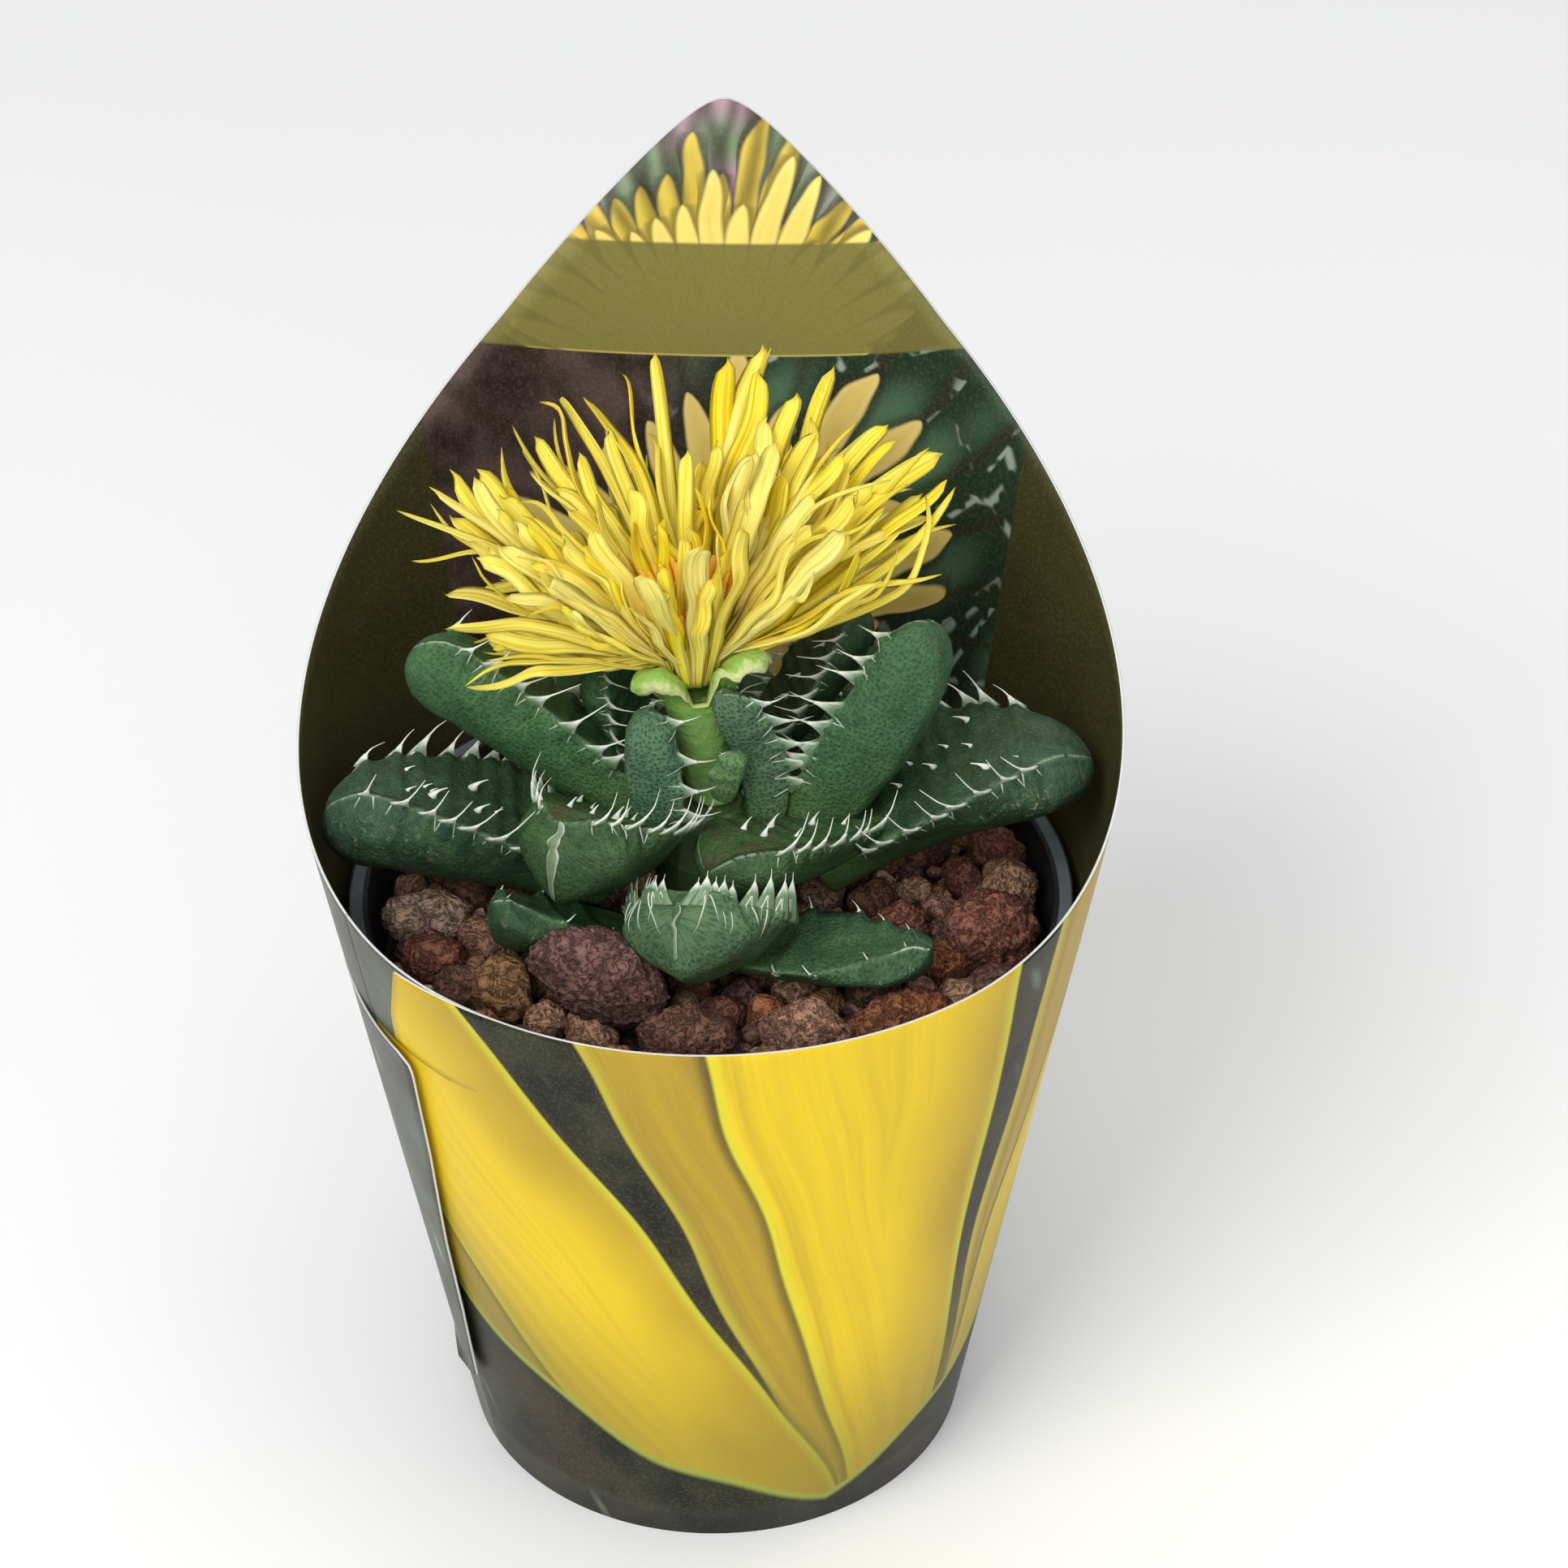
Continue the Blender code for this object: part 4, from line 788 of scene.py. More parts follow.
    def skin_place(self, part, hand, reach):
        """The place on the skin this far round from the margin towards the keel."""
        flank = self.flank(part, hand)
        for before, after in zip(flank, flank[1:]):
            step = (after - before).length
            place = after
            if reach <= step:
                place = before.lerp(after, reach / max(step, 1e-6))
                break
            reach -= step
        return self.point(part, hand * place.x, self.top(part) + place.y)


def tube(path, shapes, sides):
    """A tapering tube along a path; each shape is its half sizes there, as two vectors."""
    points = []
    for centre, (wide, thin) in zip(path, shapes):
        for side in range(sides):
            angle = 2 * math.pi * side / sides
            points.append(centre + wide * math.cos(angle) + thin * math.sin(angle))
    faces = [face[:1] + face[:0:-1] for face in ring_faces(len(path), sides)]
    return points, faces + [face[::-1] for face in end_faces(len(points), sides)]


def tooth_shapes(leaf, part, hand, length, curl):
    """One tooth: a green web on the margin, the two pale ridges at its sides, and the hair at its end."""
    at_end = min(1.0, max(0.0, (part - 0.86) / 0.14))
    if leaf.look == "pale":
        spread, turned, web, web_end, web_power = 0.30, max(0.5, at_end), 1.05, 0.85, 0.8
        hair_root, hair_loss, ridge_size = 0.100, 0.080, 0.12
        web_shades, ridge_shades = (-0.75, 0.80), (-0.15, 0.30)
    else:
        spread, turned, web, web_end, web_power = 0.70, 0.0, min(0.80, 0.24 * length), 0.52, 1.35
        hair_root, hair_loss, ridge_size = 0.150, 0.125, 0.095
        web_shades, ridge_shades = (0.0, 1.0), (0.22, 0.60)
    edge = leaf.half_width(part) + leaf.scallop(part, hand)
    out = (leaf.side * hand * (1 - 0.6 * at_end) + leaf.along * at_end).normalized()
    rim = (leaf.along * (1 - 0.7 * turned) - leaf.side * hand * turned).normalized()
    thin = (out - leaf.face * 0.6).normalized()
    root = leaf.point(part, hand * (edge - 0.45), leaf.top(part) + 0.25)
    path, shapes = [], []
    for station in range(tooth_stations):
        t = station / (tooth_stations - 1)
        way = out * (spread * t - 0.57 * spread * t * t - 0.30 * max(0.0, t - 0.7) * curl)
        way += leaf.face * ((1.06 - 0.88 * spread) * t + 0.34 * t * t)
        way -= leaf.along * (0.02 * t + 0.42 * curl * t * t)
        path.append(root + way * (length + 0.45) * mm)
        foot = max(0.0, 1 - t / web_end)
        hair = hair_root - hair_loss * t
        shapes.append((rim * (hair + web * foot ** web_power) * mm, thin * (hair * 0.8 + 0.14 * foot) * mm))
    made = [(path, shapes, *web_shades)]
    for way in (-1, 1):
        legs = []
        for down, beside in ((1.7, 0.95), (1.25, 0.85), (0.6, 0.66), (0.1, 0.50)):
            spot = min(0.985, max(0.02, part + way * beside * min(1.0, 0.26 * length) / leaf.length))
            legs.append(leaf.skin_place(spot, hand, down * min(1.0, length / 3.2)))
        ridge = smooth_curve(legs + [path[4] + rim * way * 0.22 * mm, path[8], path[10]], 4)
        swells = [min(1.0, step / (0.7 * len(ridge))) for step in range(len(ridge))]
        sizes = [(0.03 + ridge_size * swell) * mm for swell in swells]
        made.append((ridge, [(leaf.along * size, out * size) for size in sizes], *ridge_shades))
    return made


def flank_streak(leaf, part, hand, slant, reach):
    """A pale ridge that runs from a tooth's foot down the flank of the leaf, flat to the skin."""
    path, shapes = [], []
    for station in range(streak_stations):
        t = station / (streak_stations - 1)
        here = min(0.985, max(0.0, part + slant * t / leaf.length))
        path.append(leaf.skin_place(here, hand, reach * t))
        size = (0.13 * (1 - t) ** 0.7 + 0.02) * mm
        shapes.append((leaf.along * size * 1.3, leaf.side * hand * size * 0.7))
    return path, shapes, 0.3, 0.05


def keel_ridge(leaf, strength):
    """The raised pale crest that runs down the leaf's end from its point and back under the keel."""
    path = []
    for share in (0.0, 0.12, 0.3, 0.5, 0.7, 0.88):
        down = leaf.top(leaf_end) + share * leaf.thickness(leaf_end)
        path.append(leaf.point(leaf_end, 0.25 * math.sin(7 * share), down))
    for part in (0.995, 0.975, 0.95, 0.91, 0.86):
        path.append(leaf.point(part, 0, leaf.top(part) + leaf.thickness(part)))
    path = smooth_curve([path[0] * 2 - path[1]] + path + [path[-1] * 2 - path[-2]], 3)
    shapes = []
    for step in range(len(path)):
        t = step / (len(path) - 1)
        ripple = 0.8 + 0.5 * noise.noise(Vector((t * 9, leaf.width, 0)))
        size = strength * ripple * (0.24 * math.sin(math.pi * (0.03 + 0.97 * t)) ** 0.8 + 0.02) * mm
        shapes.append((leaf.side * size * 2.2, (leaf.along - leaf.face).normalized() * size * 0.6))
    return path, shapes, 0.22, 0.05


def wart_shape(leaf, part, across, size):
    """A hooked white wart on the upper face."""
    foot = leaf.point(part, across, leaf.top(part) + 0.25)
    path, shapes = [], []
    for t in (0, 0.15, 0.3, 0.45, 0.6, 0.75, 0.9, 1):
        path.append(foot + (leaf.face * (0.15 + size * t) - leaf.along * 0.8 * size * t * t) * mm)
        broad = size * (0.05 + 0.36 * (1 - t) ** 1.8) * mm
        shapes.append((leaf.along * broad, leaf.side * broad))
    return path, shapes, 0.25, 0.8


leaf_skin = Finish("leaf_skin", Specular_IOR_Level=0.22)
margin, keel, along_leaf = leaf_skin.parts(leaf_skin.attribute("marks"))
bloom, dotted, browned = leaf_skin.parts(leaf_skin.attribute("skin"))
rim_line, spare, scarred = leaf_skin.parts(leaf_skin.attribute("lines"))
around_leaf, down_leaf, spare = leaf_skin.parts(leaf_skin.attribute("spots"))
cloud = leaf_skin.noise(2.4, detail=5, roughness=0.62)
fine = leaf_skin.noise(0.45, detail=4, roughness=0.65)
flecks = leaf_skin.noise(0.20, detail=2, roughness=0.6)
bloom_cloud = leaf_skin.noise(1.3, detail=6, roughness=0.72)
scuff = leaf_skin.noise(0.8, detail=5, roughness=0.7, distortion=1.2)
dot_grid = {"Vector": leaf_skin.join(around_leaf, down_leaf), "Scale": 1000 / 0.40, "Randomness": 0.75}
dots = leaf_skin.node("ShaderNodeTexVoronoi", {"voronoi_dimensions": "2D"}, dot_grid)
leaf_skin.colour = leaf_skin.attribute("tint")
leaf_skin.coat(0.75 * cloud.step(0.46, 0.66) * (0.65 - 0.3 * dotted), (0.010, 0.030, 0.008))
leaf_skin.coat(0.18 * cloud.step(0.50, 0.34), (0.15, 0.27, 0.09))
leaf_skin.coat(0.315 * fine.step(0.50, 0.32), (0.008, 0.022, 0.006))
on_face = (margin + 1.6 * fine).step(0.2, 1.6)
brown_part = on_face * browned * (cloud + 0.9 * fine).step(0.80, 1.08) * along_leaf.step(0.35, 0.8)
brown = leaf_skin.blend(fine.step(0.40, 0.60), (0.150, 0.105, 0.040), (0.052, 0.066, 0.022))
leaf_skin.coat(0.8 * brown_part, brown)
leaf_skin.coat(0.45 * along_leaf.step(0.42, 0.07), (0.125, 0.230, 0.060))
leaf_skin.coat(0.5625 * dotted * dots.step(0.40, 0.20), (0.006, 0.024, 0.010))
leaf_skin.coat(0.21 * flecks.step(0.58, 0.72), (0.26, 0.40, 0.24))
leaf_skin.coat(0.35 * abs(margin).step(0.55, 0.05) * fine.step(0.34, 0.56), (0.20, 0.31, 0.18))
bloom_part = bloom * (bloom_cloud + 0.20 * along_leaf.step(0.5, 0.95)).step(0.54, 0.80)
leaf_skin.coat(0.45 * bloom_part, (0.10, 0.165, 0.12))
# Painted shade: the flanks darken from 1.2 to 4.5 mm below the margin towards the keel, less on leaves with
# more dots.
leaf_skin.coat(0.6 * margin.step(-1.2, -4.5) * (1 - dotted), (0.010, 0.034, 0.010))
worn = keel.step(2.4, 0.8).math("MAXIMUM", margin.step(-1.2, -2.2) * along_leaf.step(0.45, 0.75))
leaf_skin.coat(0.7 * scarred * worn * scuff.step(0.57, 0.64), (0.34, 0.33, 0.22))
rim_mark = rim_line * along_leaf.step(0.80, 0.90) * abs(margin + 0.1 * fine).step(0.15, 0.05)
leaf_skin.coat(0.8 * rim_mark * fine.step(0.36, 0.5), (0.50, 0.60, 0.42))
leaf_skin.lay("Roughness", 0.50 + 0.22 * bloom_cloud - 0.1 * flecks)
leaf_skin.relief(fine * 0.7 + cloud * 1.5 + flecks * 0.4 - dots * 0.3 * dotted, 0.25)

horn = Finish("tooth_horn", Roughness=0.4)
toward_tip, at_edge, spare = horn.parts(horn.attribute("marks"))
edge_light = 0.8 * at_edge.step(0.55, 0.95) * toward_tip.step(0.0, 0.2)
horn.colour = horn.blend(0.35, horn.attribute("tint"), (0.16, 0.26, 0.13))
horn.coat(toward_tip.step(0.12, 0.50).math("MAXIMUM", edge_light), (0.80, 0.84, 0.72))
horn.coat(0.5 * toward_tip.step(0.93, 1.0), (0.60, 0.48, 0.32))
horn.coat(0.2 * horn.noise(0.3, detail=3), (0.45, 0.55, 0.38))
horn.relief(horn.noise(0.2), 0.04)

for facts in leaves:
    leaf = Leaf(**facts)
    chance = random.Random(leaf.name)
    tint, *skin_shares = leaf_looks[leaf.look]
    tint = [part * chance.uniform(0.92, 1.08) for part in tint]
    points, marks, spots = [], [], []
    middle = leaf.section(0.5)
    ways = [0.0]
    for corner, before in zip(middle[1:], middle):
        ways.append(ways[-1] + math.hypot(corner[0] - before[0], corner[1] - before[1]))
    for station in range(leaf_stations):
        part = leaf_end * (1 - (1 - station / (leaf_stations - 1)) ** 1.6)
        spots += [(way, part * leaf.length, 0.0) for way in ways]
        heart = leaf.point(part, 0, leaf.top(part) + 0.5 * leaf.thickness(part))
        for across, down, margin_way, keel_way in leaf.section(part):
            place = leaf.point(part, across, leaf.top(part) + down)
            lump = 0.16 * noise.noise(place * 380 + leaf.seed) + 0.05 * noise.noise(place * 1300)
            points.append(place + (place - heart).normalized() * lump * mm)
            marks.append((margin_way, keel_way, part))
    faces = ring_faces(leaf_stations, len(middle)) + end_faces(len(points), len(middle))
    skin_faces = len(faces)
    horns = []
    for hand in (1, -1):
        for part in leaf.tooth_places[hand]:
            length = chance.uniform(0.75, 1.15) * leaf.tooth * (0.72 if part > 0.8 else 1.0)
            horns += tooth_shapes(leaf, part, hand, length, chance.uniform(0.1, 1.0))
            if leaf.look == "pale":
                slant = chance.uniform(-0.3, 0.3)
                horns.append(flank_streak(leaf, part, hand, slant, chance.uniform(2.0, 3.4)))
    if leaf.lines[1]:
        horns.append(keel_ridge(leaf, leaf.lines[1]))
    for wart in range(leaf.warts):
        part = chance.uniform(0.22, 0.85)
        across = chance.uniform(-0.72, 0.72) * leaf.half_width(part)
        horns.append(wart_shape(leaf, part, across, chance.uniform(0.5, 1.15)))
    for path, shapes, first_shade, last_shade in horns:
        add_shape(points, faces, *tube(path, shapes, horn_sides))
        last = len(path) - 1
        shades = [first_shade + (last_shade - first_shade) * row / last for row in range(last + 1)]
        edges = [abs(math.cos(2 * math.pi * side / horn_sides)) for side in range(horn_sides)]
        marks += [(shade, edge, 0.0) for shade in shades for edge in edges]
    count = len(points)
    spots += [(0.0, 0.0, 0.0)] * (count - len(spots))
    mesh = new_mesh(leaf.name + "_flesh", points, faces, marks=marks, spots=spots, tint=[tint] * count,
                    skin=[skin_shares] * count, lines=[leaf.lines] * count)
    mesh.polygons.foreach_set("material_index", [0] * skin_faces + [1] * (len(faces) - skin_faces))
    add_piece(mesh, [leaf_skin, horn], leaf.name)


# The calyx: a short thick stalk that swells into a fleshy cup, with five lobes under the petals. It is
# bright green, and the lobes have thin cream edges.

stalk_foot = Vector((0.2, 0.6, 57.5))
bloom_seat = Vector((-1.2, 0.8, 68.6))
bloom_turn = Matrix.Rotation(math.radians(-3), 3, "Y") @ Matrix.Rotation(math.radians(-14), 3, "X")
bloom_axis = bloom_turn @ up


def outward(angle):
    """The way out from the bloom's middle at an angle round it."""
    return bloom_turn @ Vector((math.sin(angle), math.cos(angle), 0))


calyx_rings = ((0, 1.9), (0.25, 2.05), (0.50, 2.2), (0.66, 2.45), (0.76, 2.7))  # share of the stalk, radius
calyx_lobes = (  # azimuth, half width, length, curl
    (-136, 36, 4.4, 190), (-62, 34, 5.0, 120), (-4, 30, 5.0, 90), (56, 26, 11.5, 50), (122, 40, 5.4, 120),
)
calyx_sides, lobe_stations = 120, 16
rim_share, rim_radius = calyx_rings[-1]
calyx_line = calyx_rings[:1] + calyx_rings + calyx_rings[-1:]


def lobe_at(azimuth):
    """How far the calyx reaches past its cup at an azimuth, and how far its end curls over, in degrees."""
    best = (0.35, 0.0, 1.0)
    for middle, half, length, curl in calyx_lobes:
        aside = abs((azimuth - middle + 180) % 360 - 180) / half
        reach = 0.35 + length * max(0.0, 1 - aside ** 1.9) ** 0.62 if aside < 1 else 0.0
        if reach > best[0]:
            best = (reach, curl, aside)
    return best


calyx_points, calyx_marks = [], []
for part, radius in smooth_curve([Vector(ring) for ring in calyx_line], 7):
    centre = stalk_foot.lerp(bloom_seat, part)
    turn = up.rotation_difference(up.lerp(bloom_axis, part).normalized()).to_matrix()
    for side in range(calyx_sides):
        angle = 2 * math.pi * side / calyx_sides
        ridge = 1 + 0.04 * math.cos(5 * angle) * part + 0.03 * noise.noise(Vector((4 * part, angle, 2)))
        spoke = Vector((math.sin(angle), math.cos(angle), 0)) * radius * ridge
        calyx_points.append((centre + turn @ spoke) * mm)
        calyx_marks.append((0.0, part * 0.4, 0.0))
rim_centre = stalk_foot.lerp(bloom_seat, rim_share)
outer_lines, inner_lines = [], []
for side in range(calyx_sides):
    angle = 2 * math.pi * side / calyx_sides
    reach, curl, aside = lobe_at(math.degrees(angle))
    radial = outward(angle)
    wave = 0.8 * noise.noise(Vector((angle * 3.5, reach, 4)))
    fleshy = 1.05 if reach > 1 else 0.9
    place = rim_centre + radial * rim_radius
    outer_line, inner_line = [], []
    for station in range(1, lobe_stations + 1):
        share = station / lobe_stations
        lean = math.radians(16 + 10 * share + curl * share ** 4 * (1 - 0.6 * aside) + 30 * wave * share)
        place = place + (radial * math.sin(lean) + bloom_axis * math.cos(lean)) * reach / lobe_stations
        thick = fleshy * math.sqrt(max(0.02, 1 - share ** 6)) * (1 - 0.45 * aside ** 3)
        outer_line.append(place * mm)
        inner_line.append((place + (bloom_axis * math.sin(lean) - radial * math.cos(lean)) * thick) * mm)
    outer_lines.append(outer_line)
    inner_lines.append(inner_line[::-1] + [(rim_centre + radial * 0.9 + bloom_axis * 0.4) * mm])
for lines, shade in ((outer_lines, 0.0), (inner_lines, 1.0)):
    for station in range(len(lines[0])):
        calyx_points += [line[station] for line in lines]
        share = (station + 1) / lobe_stations
        at_rim = max(0.0, 1 - share) if shade else share
        calyx_marks += [(at_rim, 0.4 + 0.6 * at_rim, shade)] * calyx_sides
calyx_faces = ring_faces(len(calyx_points) // calyx_sides, calyx_sides)
calyx_faces += end_faces(len(calyx_points), calyx_sides)

calyx_skin = Finish("calyx_skin", Roughness=0.42, Specular_IOR_Level=0.3, Subsurface_Weight=0.25,
                    Subsurface_Scale=0.0015, Subsurface_Radius=(0.7, 1.0, 0.2))
toward_rim, up_calyx, calyx_inside = calyx_skin.parts(calyx_skin.attribute("marks"))
calyx_fine = calyx_skin.noise(0.7, detail=4)
# The stalk below the cup is a paler green than the cup; part of that is painted light, for the light
# shining through it.
calyx_skin.colour = calyx_skin.blend(up_calyx.step(0.05, 0.5), (0.26, 0.48, 0.15), (0.20, 0.41, 0.055))
calyx_skin.coat(0.4 * calyx_fine.step(0.4, 0.7), (0.28, 0.42, 0.12))
calyx_skin.coat(0.9 * (toward_rim + 0.3 * (calyx_fine - 0.5)).step(0.80, 0.92), (0.70, 0.70, 0.36))
calyx_skin.coat(0.3 * calyx_inside, (0.36, 0.48, 0.12))
calyx_skin.relief(calyx_fine, 0.25)
calyx_mesh = new_mesh("calyx_cup", calyx_points, calyx_faces, marks=calyx_marks)
add_piece(calyx_mesh, [calyx_skin], "calyx")


# The petals: more than a hundred narrow soft blades in layers, broad straps with round tips and thin
# curling ones among them. They are bright yellow with fine lengthwise veins, paler underneath.

petal_rows = (  # azimuth, opening angle, length, width, bend, curl, twist, paleness
    (-88, 54, 21.7, 1.0, -20, 30, 20, 0.6), (-81, 52, 20.9, 1.2, -25, 20, 30, 0.7),
    (-73, 50, 20.1, 1.7, -10, -10, 10, 0.3), (-69, 49, 19.2, 1.8, -5, -15, -10, 0.2),
    (-72, 47, 16.1, 1.8, 5, -10, 15, 0.2), (-56, 47, 20.8, 1.5, 10, -60, 60, 0.2),
    (-43, 43, 22.5, 1.0, -10, 40, 90, 0.3), (-45, 46, 20.9, 0.6, 10, 10, 60, 0.4),
    (-31, 43, 22.3, 1.2, -10, 70, -80, 0.3), (-25, 41, 22.4, 1.4, -25, 90, 60, 0.2),
    (-16, 41, 22.7, 1.0, -15, 70, -120, 0.1), (-8, 39, 22.9, 1.3, -12, 30, 40, 0.3),
    (-45, 43, 19.4, 1.3, 0, 10, -30, 0.3), (-111, 59, 14.5, 1.9, -15, 15, 20, 0.9),
    (-101, 73, 16.2, 1.3, 5, 20, -100, 0.5), (-98, 47, 15.4, 1.9, 0, -10, -15, 0.8),
    (-82, 52, 18.0, 1.7, 0, -10, 10, 0.3), (-95, 50, 14.9, 1.8, -10, 0, 25, 0.5),
    (-99, 55, 16.4, 1.5, -10, 0, -20, 0.5), (-88, 40, 14.0, 1.7, 10, -10, 10, 0.1),
    (18, 41, 23.5, 1.9, -5, 20, -15, 0.4), (13, 38, 22.0, 1.8, 0, -10, 5, 0.0),
    (24, 39, 21.6, 1.7, -5, 10, 20, 0.1), (37, 33, 16.7, 1.7, 5, -5, -15, 0.6),
    (42, 43, 22.6, 1.4, 10, -20, 40, 0.1), (53, 46, 20.8, 1.1, -10, 50, -50, 0.2),
    (57, 47, 20.3, 1.4, 5, 10, 30, 0.1), (63, 49, 20.6, 1.4, 0, 10, -30, 0.1),
    (73, 53, 21.9, 1.7, -5, 20, 20, 0.2), (76, 51, 19.5, 0.9, -10, 10, 60, 0.2),
    (84, 56, 20.8, 1.4, 25, -50, -20, 0.1), (88, 59, 20.9, 1.0, 45, -70, 30, 0.2),
    (96, 54, 20.4, 0.8, 50, -110, 20, 0.4), (106, 67, 17.6, 0.9, -30, 40, -30, 0.3),
    (112, 45, 14.4, 2.2, -10, 10, 25, 1.0), (61, 23, 15.1, 1.9, 5, 0, -10, 0.8),
    (51, 20, 13.0, 1.7, 0, 0, 10, 0.8), (84, 30, 13.2, 1.5, 0, 5, 15, 0.8),
    (142, 24, 11.2, 1.7, 5, 10, -20, 0.5), (124, 14, 11.6, 1.6, 0, 5, 15, 0.4),
    (168, 28, 11.6, 1.9, -5, 25, -10, 0.9), (-165, 41, 11.4, 1.9, -5, 20, 10, 0.8),
    (-176, 8, 11.0, 1.1, 0, 10, 10, 0.0), (-162, 14, 11.5, 1.2, 5, 5, -20, 0.0),
    (137, -4, 12.4, 1.2, 0, 0, 10, 0.0), (107, 2, 11.1, 1.3, 0, 5, -10, 0.0),
    (2, 5, 12.9, 1.3, -5, 10, 15, 0.3), (13, 23, 14.3, 1.3, -5, 20, -20, 0.3),
    (-28, 32, 17.1, 1.4, -10, 20, 30, 0.4), (-47, 34, 15.5, 1.3, 0, -10, 20, 0.3),
    (-51, 12, 11.8, 1.4, 0, 10, -30, 0.3), (-84, 18, 11.5, 1.2, 5, -10, 30, 0.5),
    (50, 37, 17.7, 1.7, 0, 0, 10, 0.2), (68, 38, 16.3, 1.7, 0, 0, -10, 0.2),
    (85, 41, 15.4, 1.6, 5, 0, 20, 0.3), (36, 38, 20.0, 1.6, 0, 10, -10, 0.2),
    (96, 53, 17.0, 1.3, 10, -20, -30, 0.2), (79, 48, 17.3, 1.5, 0, 10, 20, 0.1),
    (-120, 49, 12.4, 1.6, -10, 10, 15, 0.7), (-110, 30, 11.6, 1.6, 0, 0, -20, 0.5),
)
low_petals = ((-75, 74, 16.5), (-62, 68, 18.0), (-44, 72, 17.5), (-28, 66, 18.5), (-10, 70, 18.0),
              (8, 72, 17.5), (24, 67, 18.5), (42, 71, 18.0), (60, 66, 17.5))
petals_between, petals_under, wild_petals = 84, 14, 30
petal_stations, claw_steps, petal_thickness, thinnest_broad = 34, 4, 0.26, 1.15
petal_section = ((-1, 0.3), (-0.5, 0.5), (0, 0.1), (0.5, 0.5), (1, 0.3), (0.5, -0.8), (0, -1.5),
                 (-0.5, -0.8))

petal_chance = random.Random(12)
noise.seed_set(7)  # without a seed of its own, noise_vector takes one from the clock
draw, pick = petal_chance.uniform, petal_chance.choice
petal_list = list(petal_rows) + [(*row, 1.7, -10, 15, 20, 0.6) for row in low_petals]
for filler in range(petals_between):
    azimuth, angle, length, width, bend, curl, twist, pale = pick(petal_rows)
    shorter = 0.76 if -62 < azimuth < 10 else 1.0
    petal_list.append((azimuth + draw(-9, 9), angle + draw(-9, 5), length * draw(0.70, 0.95) * shorter,
                       pick((0.7, 1.2, 1.4, 1.7)), bend + draw(-12, 12), draw(-30, 30), draw(-70, 70),
                       draw(0, 0.9) * (0.4 + pale)))
for low in range(petals_under):
    petal_list.append((draw(-112, -55), draw(76, 92), draw(11, 16.5), pick((0.5, 0.9, 1.3)), draw(-20, 30),
                       draw(-30, 60), draw(-60, 60), 0.4))
for wild in range(wild_petals):
    azimuth = pick((-100, -85, -70, -45, -30, -15, 40, 60, 85, 100)) + draw(-8, 8)
    petal_list.append((azimuth, draw(38, 66), draw(16, 21), 0.5, draw(-40, 40), draw(-90, 90),
                       draw(-140, 140), draw(0, 0.6)))


def broad_petal(part):
    widening = 0.32 + 0.60 * min(1, part / 0.45) ** 0.8 + 0.14 * part ** 4
    return widening * math.sqrt(max(0.0009, 1 - part ** 22))


def thin_petal(part):
    widening = 0.50 + 0.50 * math.sin(math.pi * min(1.0, 0.2 + part * 0.55))
    return widening * math.sqrt(max(0.01, 1 - part ** 9))


def petal_shape(azimuth, angle, start, rise, length, width, bend, curl, twist, breadths, fold):
    """A petal from its root on the bloom's middle line: rows of points from side to side, then under."""
    turn = math.radians(azimuth)
    radial, side = outward(turn), outward(turn + math.pi / 2)
    place = bloom_seat + radial * 0.62 * start - bloom_axis * 0.9
    claw = bloom_seat + radial * start + bloom_axis * rise - place
    points, marks = [], []
    for station in range(petal_stations):
        part = station / (petal_stations - 1)
        lean = math.radians(angle + bend * part + curl * part ** 3)
        forward = radial * math.sin(lean) + bloom_axis * math.cos(lean)
        if 0 < station <= claw_steps:
            place = place + claw / claw_steps
        elif station:
            place = place + forward * length / (petal_stations - 1 - claw_steps)
        twisted = math.radians(twist * part + 36 * math.sin(turn) * min(1.0, 3 * part))
        spin = Matrix.Rotation(twisted, 3, forward)
        broad, above = spin @ side, spin @ forward.cross(side)
        half = width / 2 * breadths(part)
        thin = petal_thickness / 2 * min(1.0, 0.2 + breadths(part))
        for across, height in petal_section:
            cupped = above * fold * (1 - 0.75 * part ** 4) * half * abs(across) ** 1.5
            cupped += forward * 0.25 * fold * width * across * part ** 9
            points.append((place + broad * across * half - above * height * thin + cupped) * mm)
            marks.append((across, part, height))
    sides = len(petal_section)
    return points, end_faces(len(points), sides) + ring_faces(petal_stations, sides), marks


petal_points, petal_faces, petal_marks, petal_tints = [], [], [], []
for azimuth, angle, length, width, bend, curl, twist, pale in petal_list:
    rise = 2.6 - 1.6 * min(1.0, max(0.0, angle / 55)) + draw(-0.3, 0.3)
    start = 2.9 - draw(0, 0.9)
    if width < thinnest_broad:
        breadths, unruly, fuller = thin_petal, 2.6, 0.95
    else:
        breadths, unruly, fuller = broad_petal, 1.4, 1.06
    fold = pick((-0.55, -0.3, 0.4, 0.6, 0.8))
    angle -= bend / 2 + curl / 4
    width *= fuller
    new_points, new_faces, new_marks = petal_shape(
        azimuth, angle, start, rise, length, width, bend, curl, twist, breadths, fold)
    wave = draw(0, 40)
    parts = [mark[1] for mark in new_marks]
    ripples = [noise.noise_vector(Vector((part * 3.0 + wave, wave, 0))) * part for part in parts]
    new_points = [point + ripple * unruly * mm for point, ripple in zip(new_points, ripples)]
    add_shape(petal_points, petal_faces, new_points, new_faces)
    petal_marks += new_marks
    petal_tints += [(pale, petal_chance.random(), 0.0)] * len(new_points)

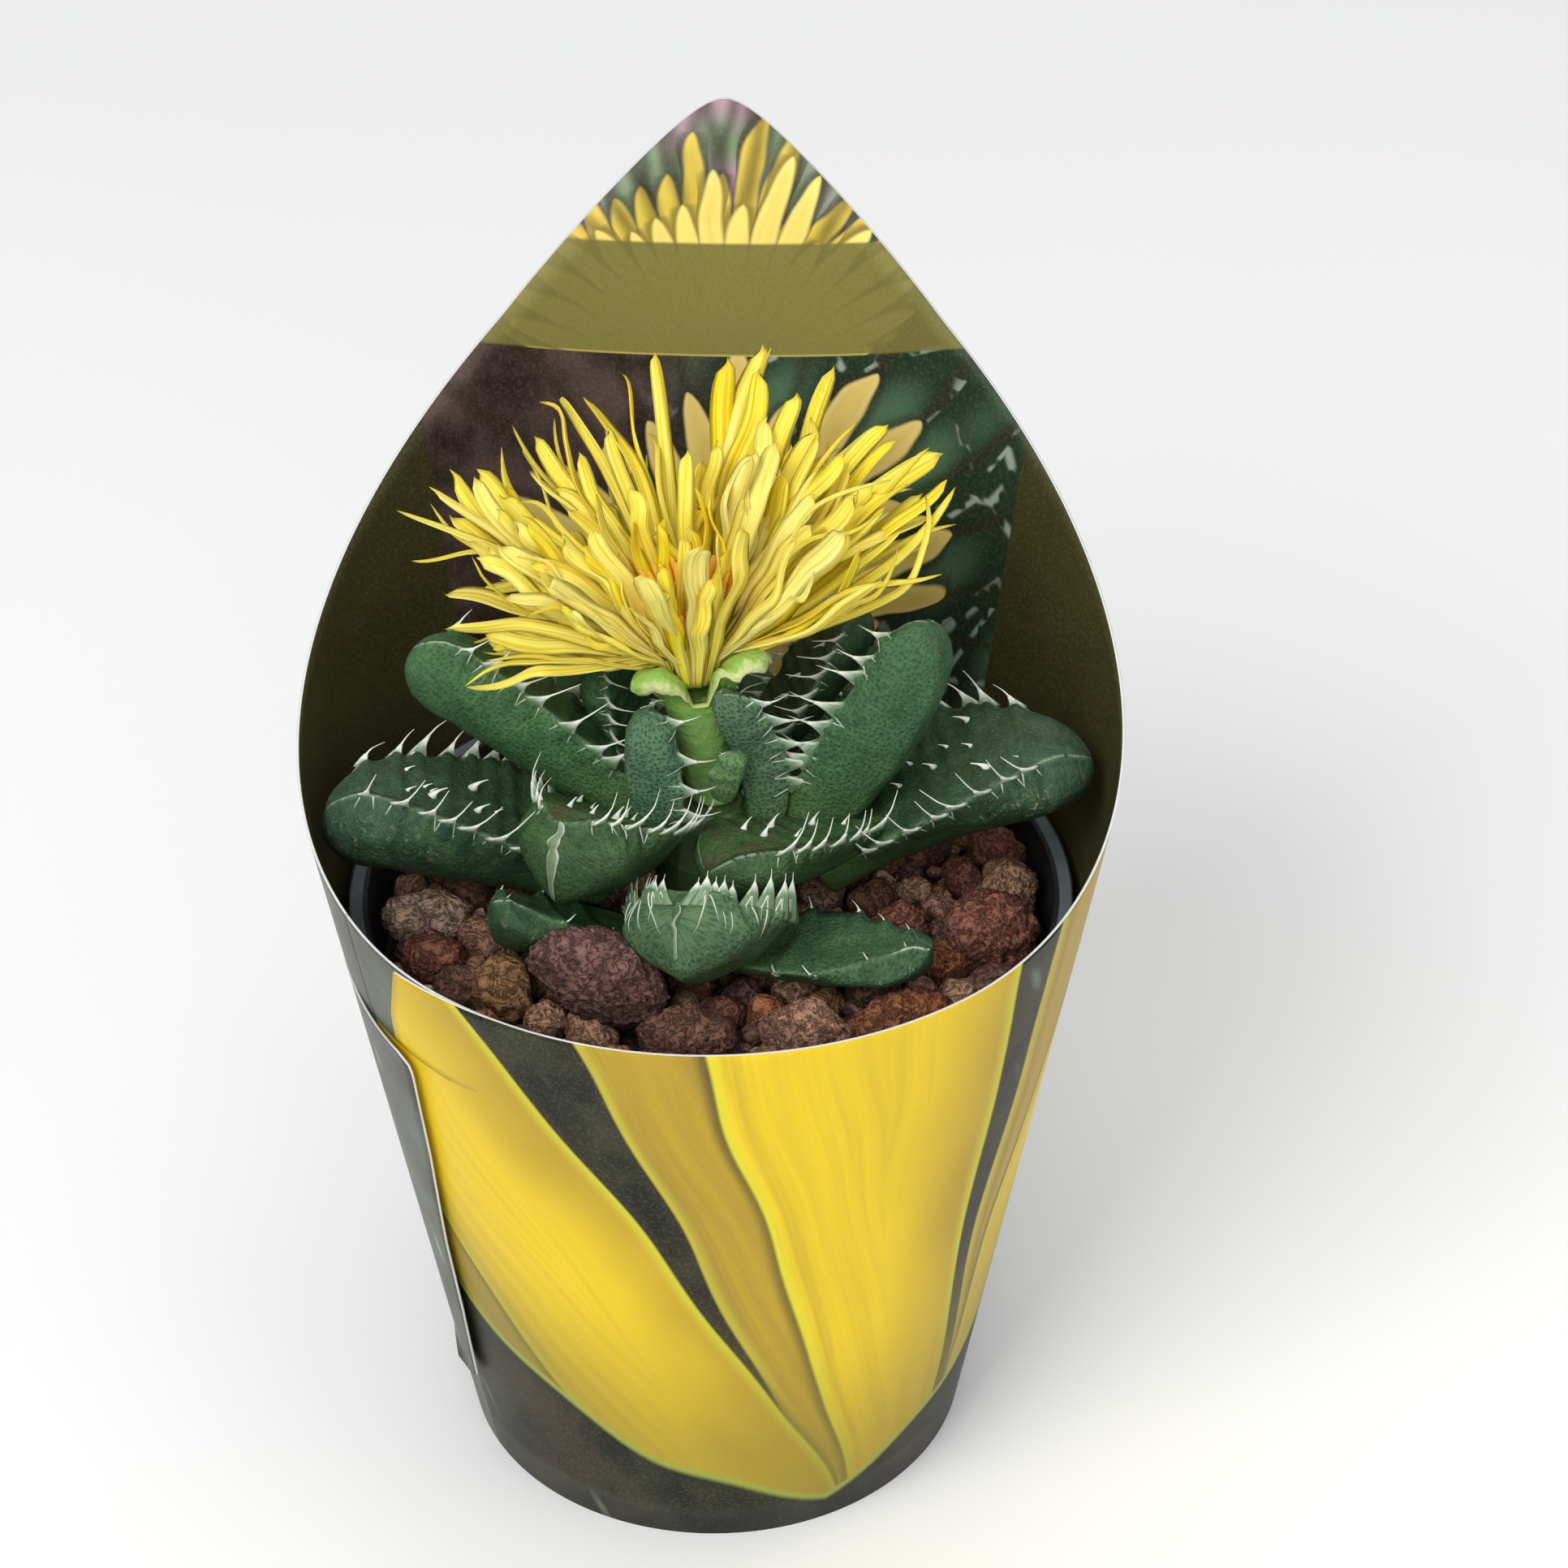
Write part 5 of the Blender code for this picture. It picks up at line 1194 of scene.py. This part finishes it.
petal_skin = Finish("petal_skin", Roughness=0.45, Specular_IOR_Level=0.2, Subsurface_Weight=0.25,
                    Subsurface_Scale=0.0008, Subsurface_Radius=(1.0, 0.85, 0.12))
across_petal, along_petal, spare = petal_skin.parts(petal_skin.attribute("marks"))
paleness, petal_own, spare = petal_skin.parts(petal_skin.attribute("own"))
vein_place = petal_skin.join(across_petal * 1.7, along_petal * 0.9, petal_own * 90)
veins = petal_skin.noise(0.45, detail=3, where=vein_place)
petal_skin.colour = petal_skin.blend(petal_own, (0.97, 0.77, 0.003), (0.93, 0.66, 0.004))
# Whole petals are painted pale cream by their paleness: partly the paler colour of their undersides, partly
# painted highlight, a whitish sheen.
petal_skin.coat(0.65 * paleness, (0.90, 0.86, 0.36))
# Painted highlight: a paler lemon yellow down the middle of each petal.
petal_skin.coat(0.2 * abs(across_petal).step(0.6, 0), (0.95, 0.84, 0.15))
# Fine lengthwise streaks, paler and darker: partly the petals' veins, partly painted light and shade of
# fine creases.
petal_skin.coat(0.6 * veins.step(0.48, 0.36), (0.97, 0.90, 0.26))
petal_skin.coat(0.6 * veins.step(0.50, 0.66), (0.58, 0.38, 0.004))
petal_skin.coat(0.5 * along_petal.step(0.16, 0), (0.80, 0.62, 0.06))
petal_skin.coat(0.5 * along_petal.step(0.95, 1.0), (0.74, 0.50, 0.03))
petal_skin.relief(veins, 0.14, 0.9)
petal_mesh = new_mesh("petal_blades", petal_points, petal_faces, marks=petal_marks, own=petal_tints)
add_piece(petal_mesh, [petal_skin], "petals")


# The stamens: a dense tuft of thin orange-yellow threads in the middle of the bloom, each with a head
# of pollen.

thread_sizes = (0.085, 0.085, 0.085, 0.085, 0.085, 0.16, 0.30, 0.30, 0.16)
threads, thread_sides, turn_between = 110, 6, 137.5
tuft_chance = random.Random(5)
tuft_points, tuft_faces, tuft_marks = [], [], []
for thread in range(threads):
    spread = math.sqrt((thread + 0.5) / threads)
    turn = math.radians(thread * turn_between)
    radial, side = outward(turn), outward(turn + math.pi / 2)
    foot = bloom_seat + radial * 1.9 * spread + bloom_axis * 0.2
    length = tuft_chance.uniform(5.2, 8.2)
    lean = 0.05 + 0.32 * spread
    path, shapes = [], []
    for station, size in enumerate(thread_sizes):
        t = station / (len(thread_sizes) - 1)
        path.append((foot + (bloom_axis * t + radial * lean * t * t) * length) * mm)
        shapes.append((radial * size * mm, side * size * mm))
        tuft_marks += [(t, tuft_chance.random(), 0) for corner in range(thread_sides)]
    add_shape(tuft_points, tuft_faces, *tube(path, shapes, thread_sides))

pollen = Finish("stamen_pollen", Roughness=0.7, Subsurface_Weight=0.15, Subsurface_Scale=0.001)
up_thread, spare, spare = pollen.parts(pollen.attribute("marks"))
pollen.colour = pollen.blend(up_thread.step(0.5, 0.75), (0.82, 0.60, 0.03), (0.86, 0.40, 0.008))
pollen.coat(0.4 * pollen.noise(0.3), (0.85, 0.55, 0.05))
pollen.relief(pollen.noise(0.15), 0.08)
tuft_mesh = new_mesh("stamen_threads", tuft_points, tuft_faces, marks=tuft_marks)
add_piece(tuft_mesh, [pollen], "stamens")
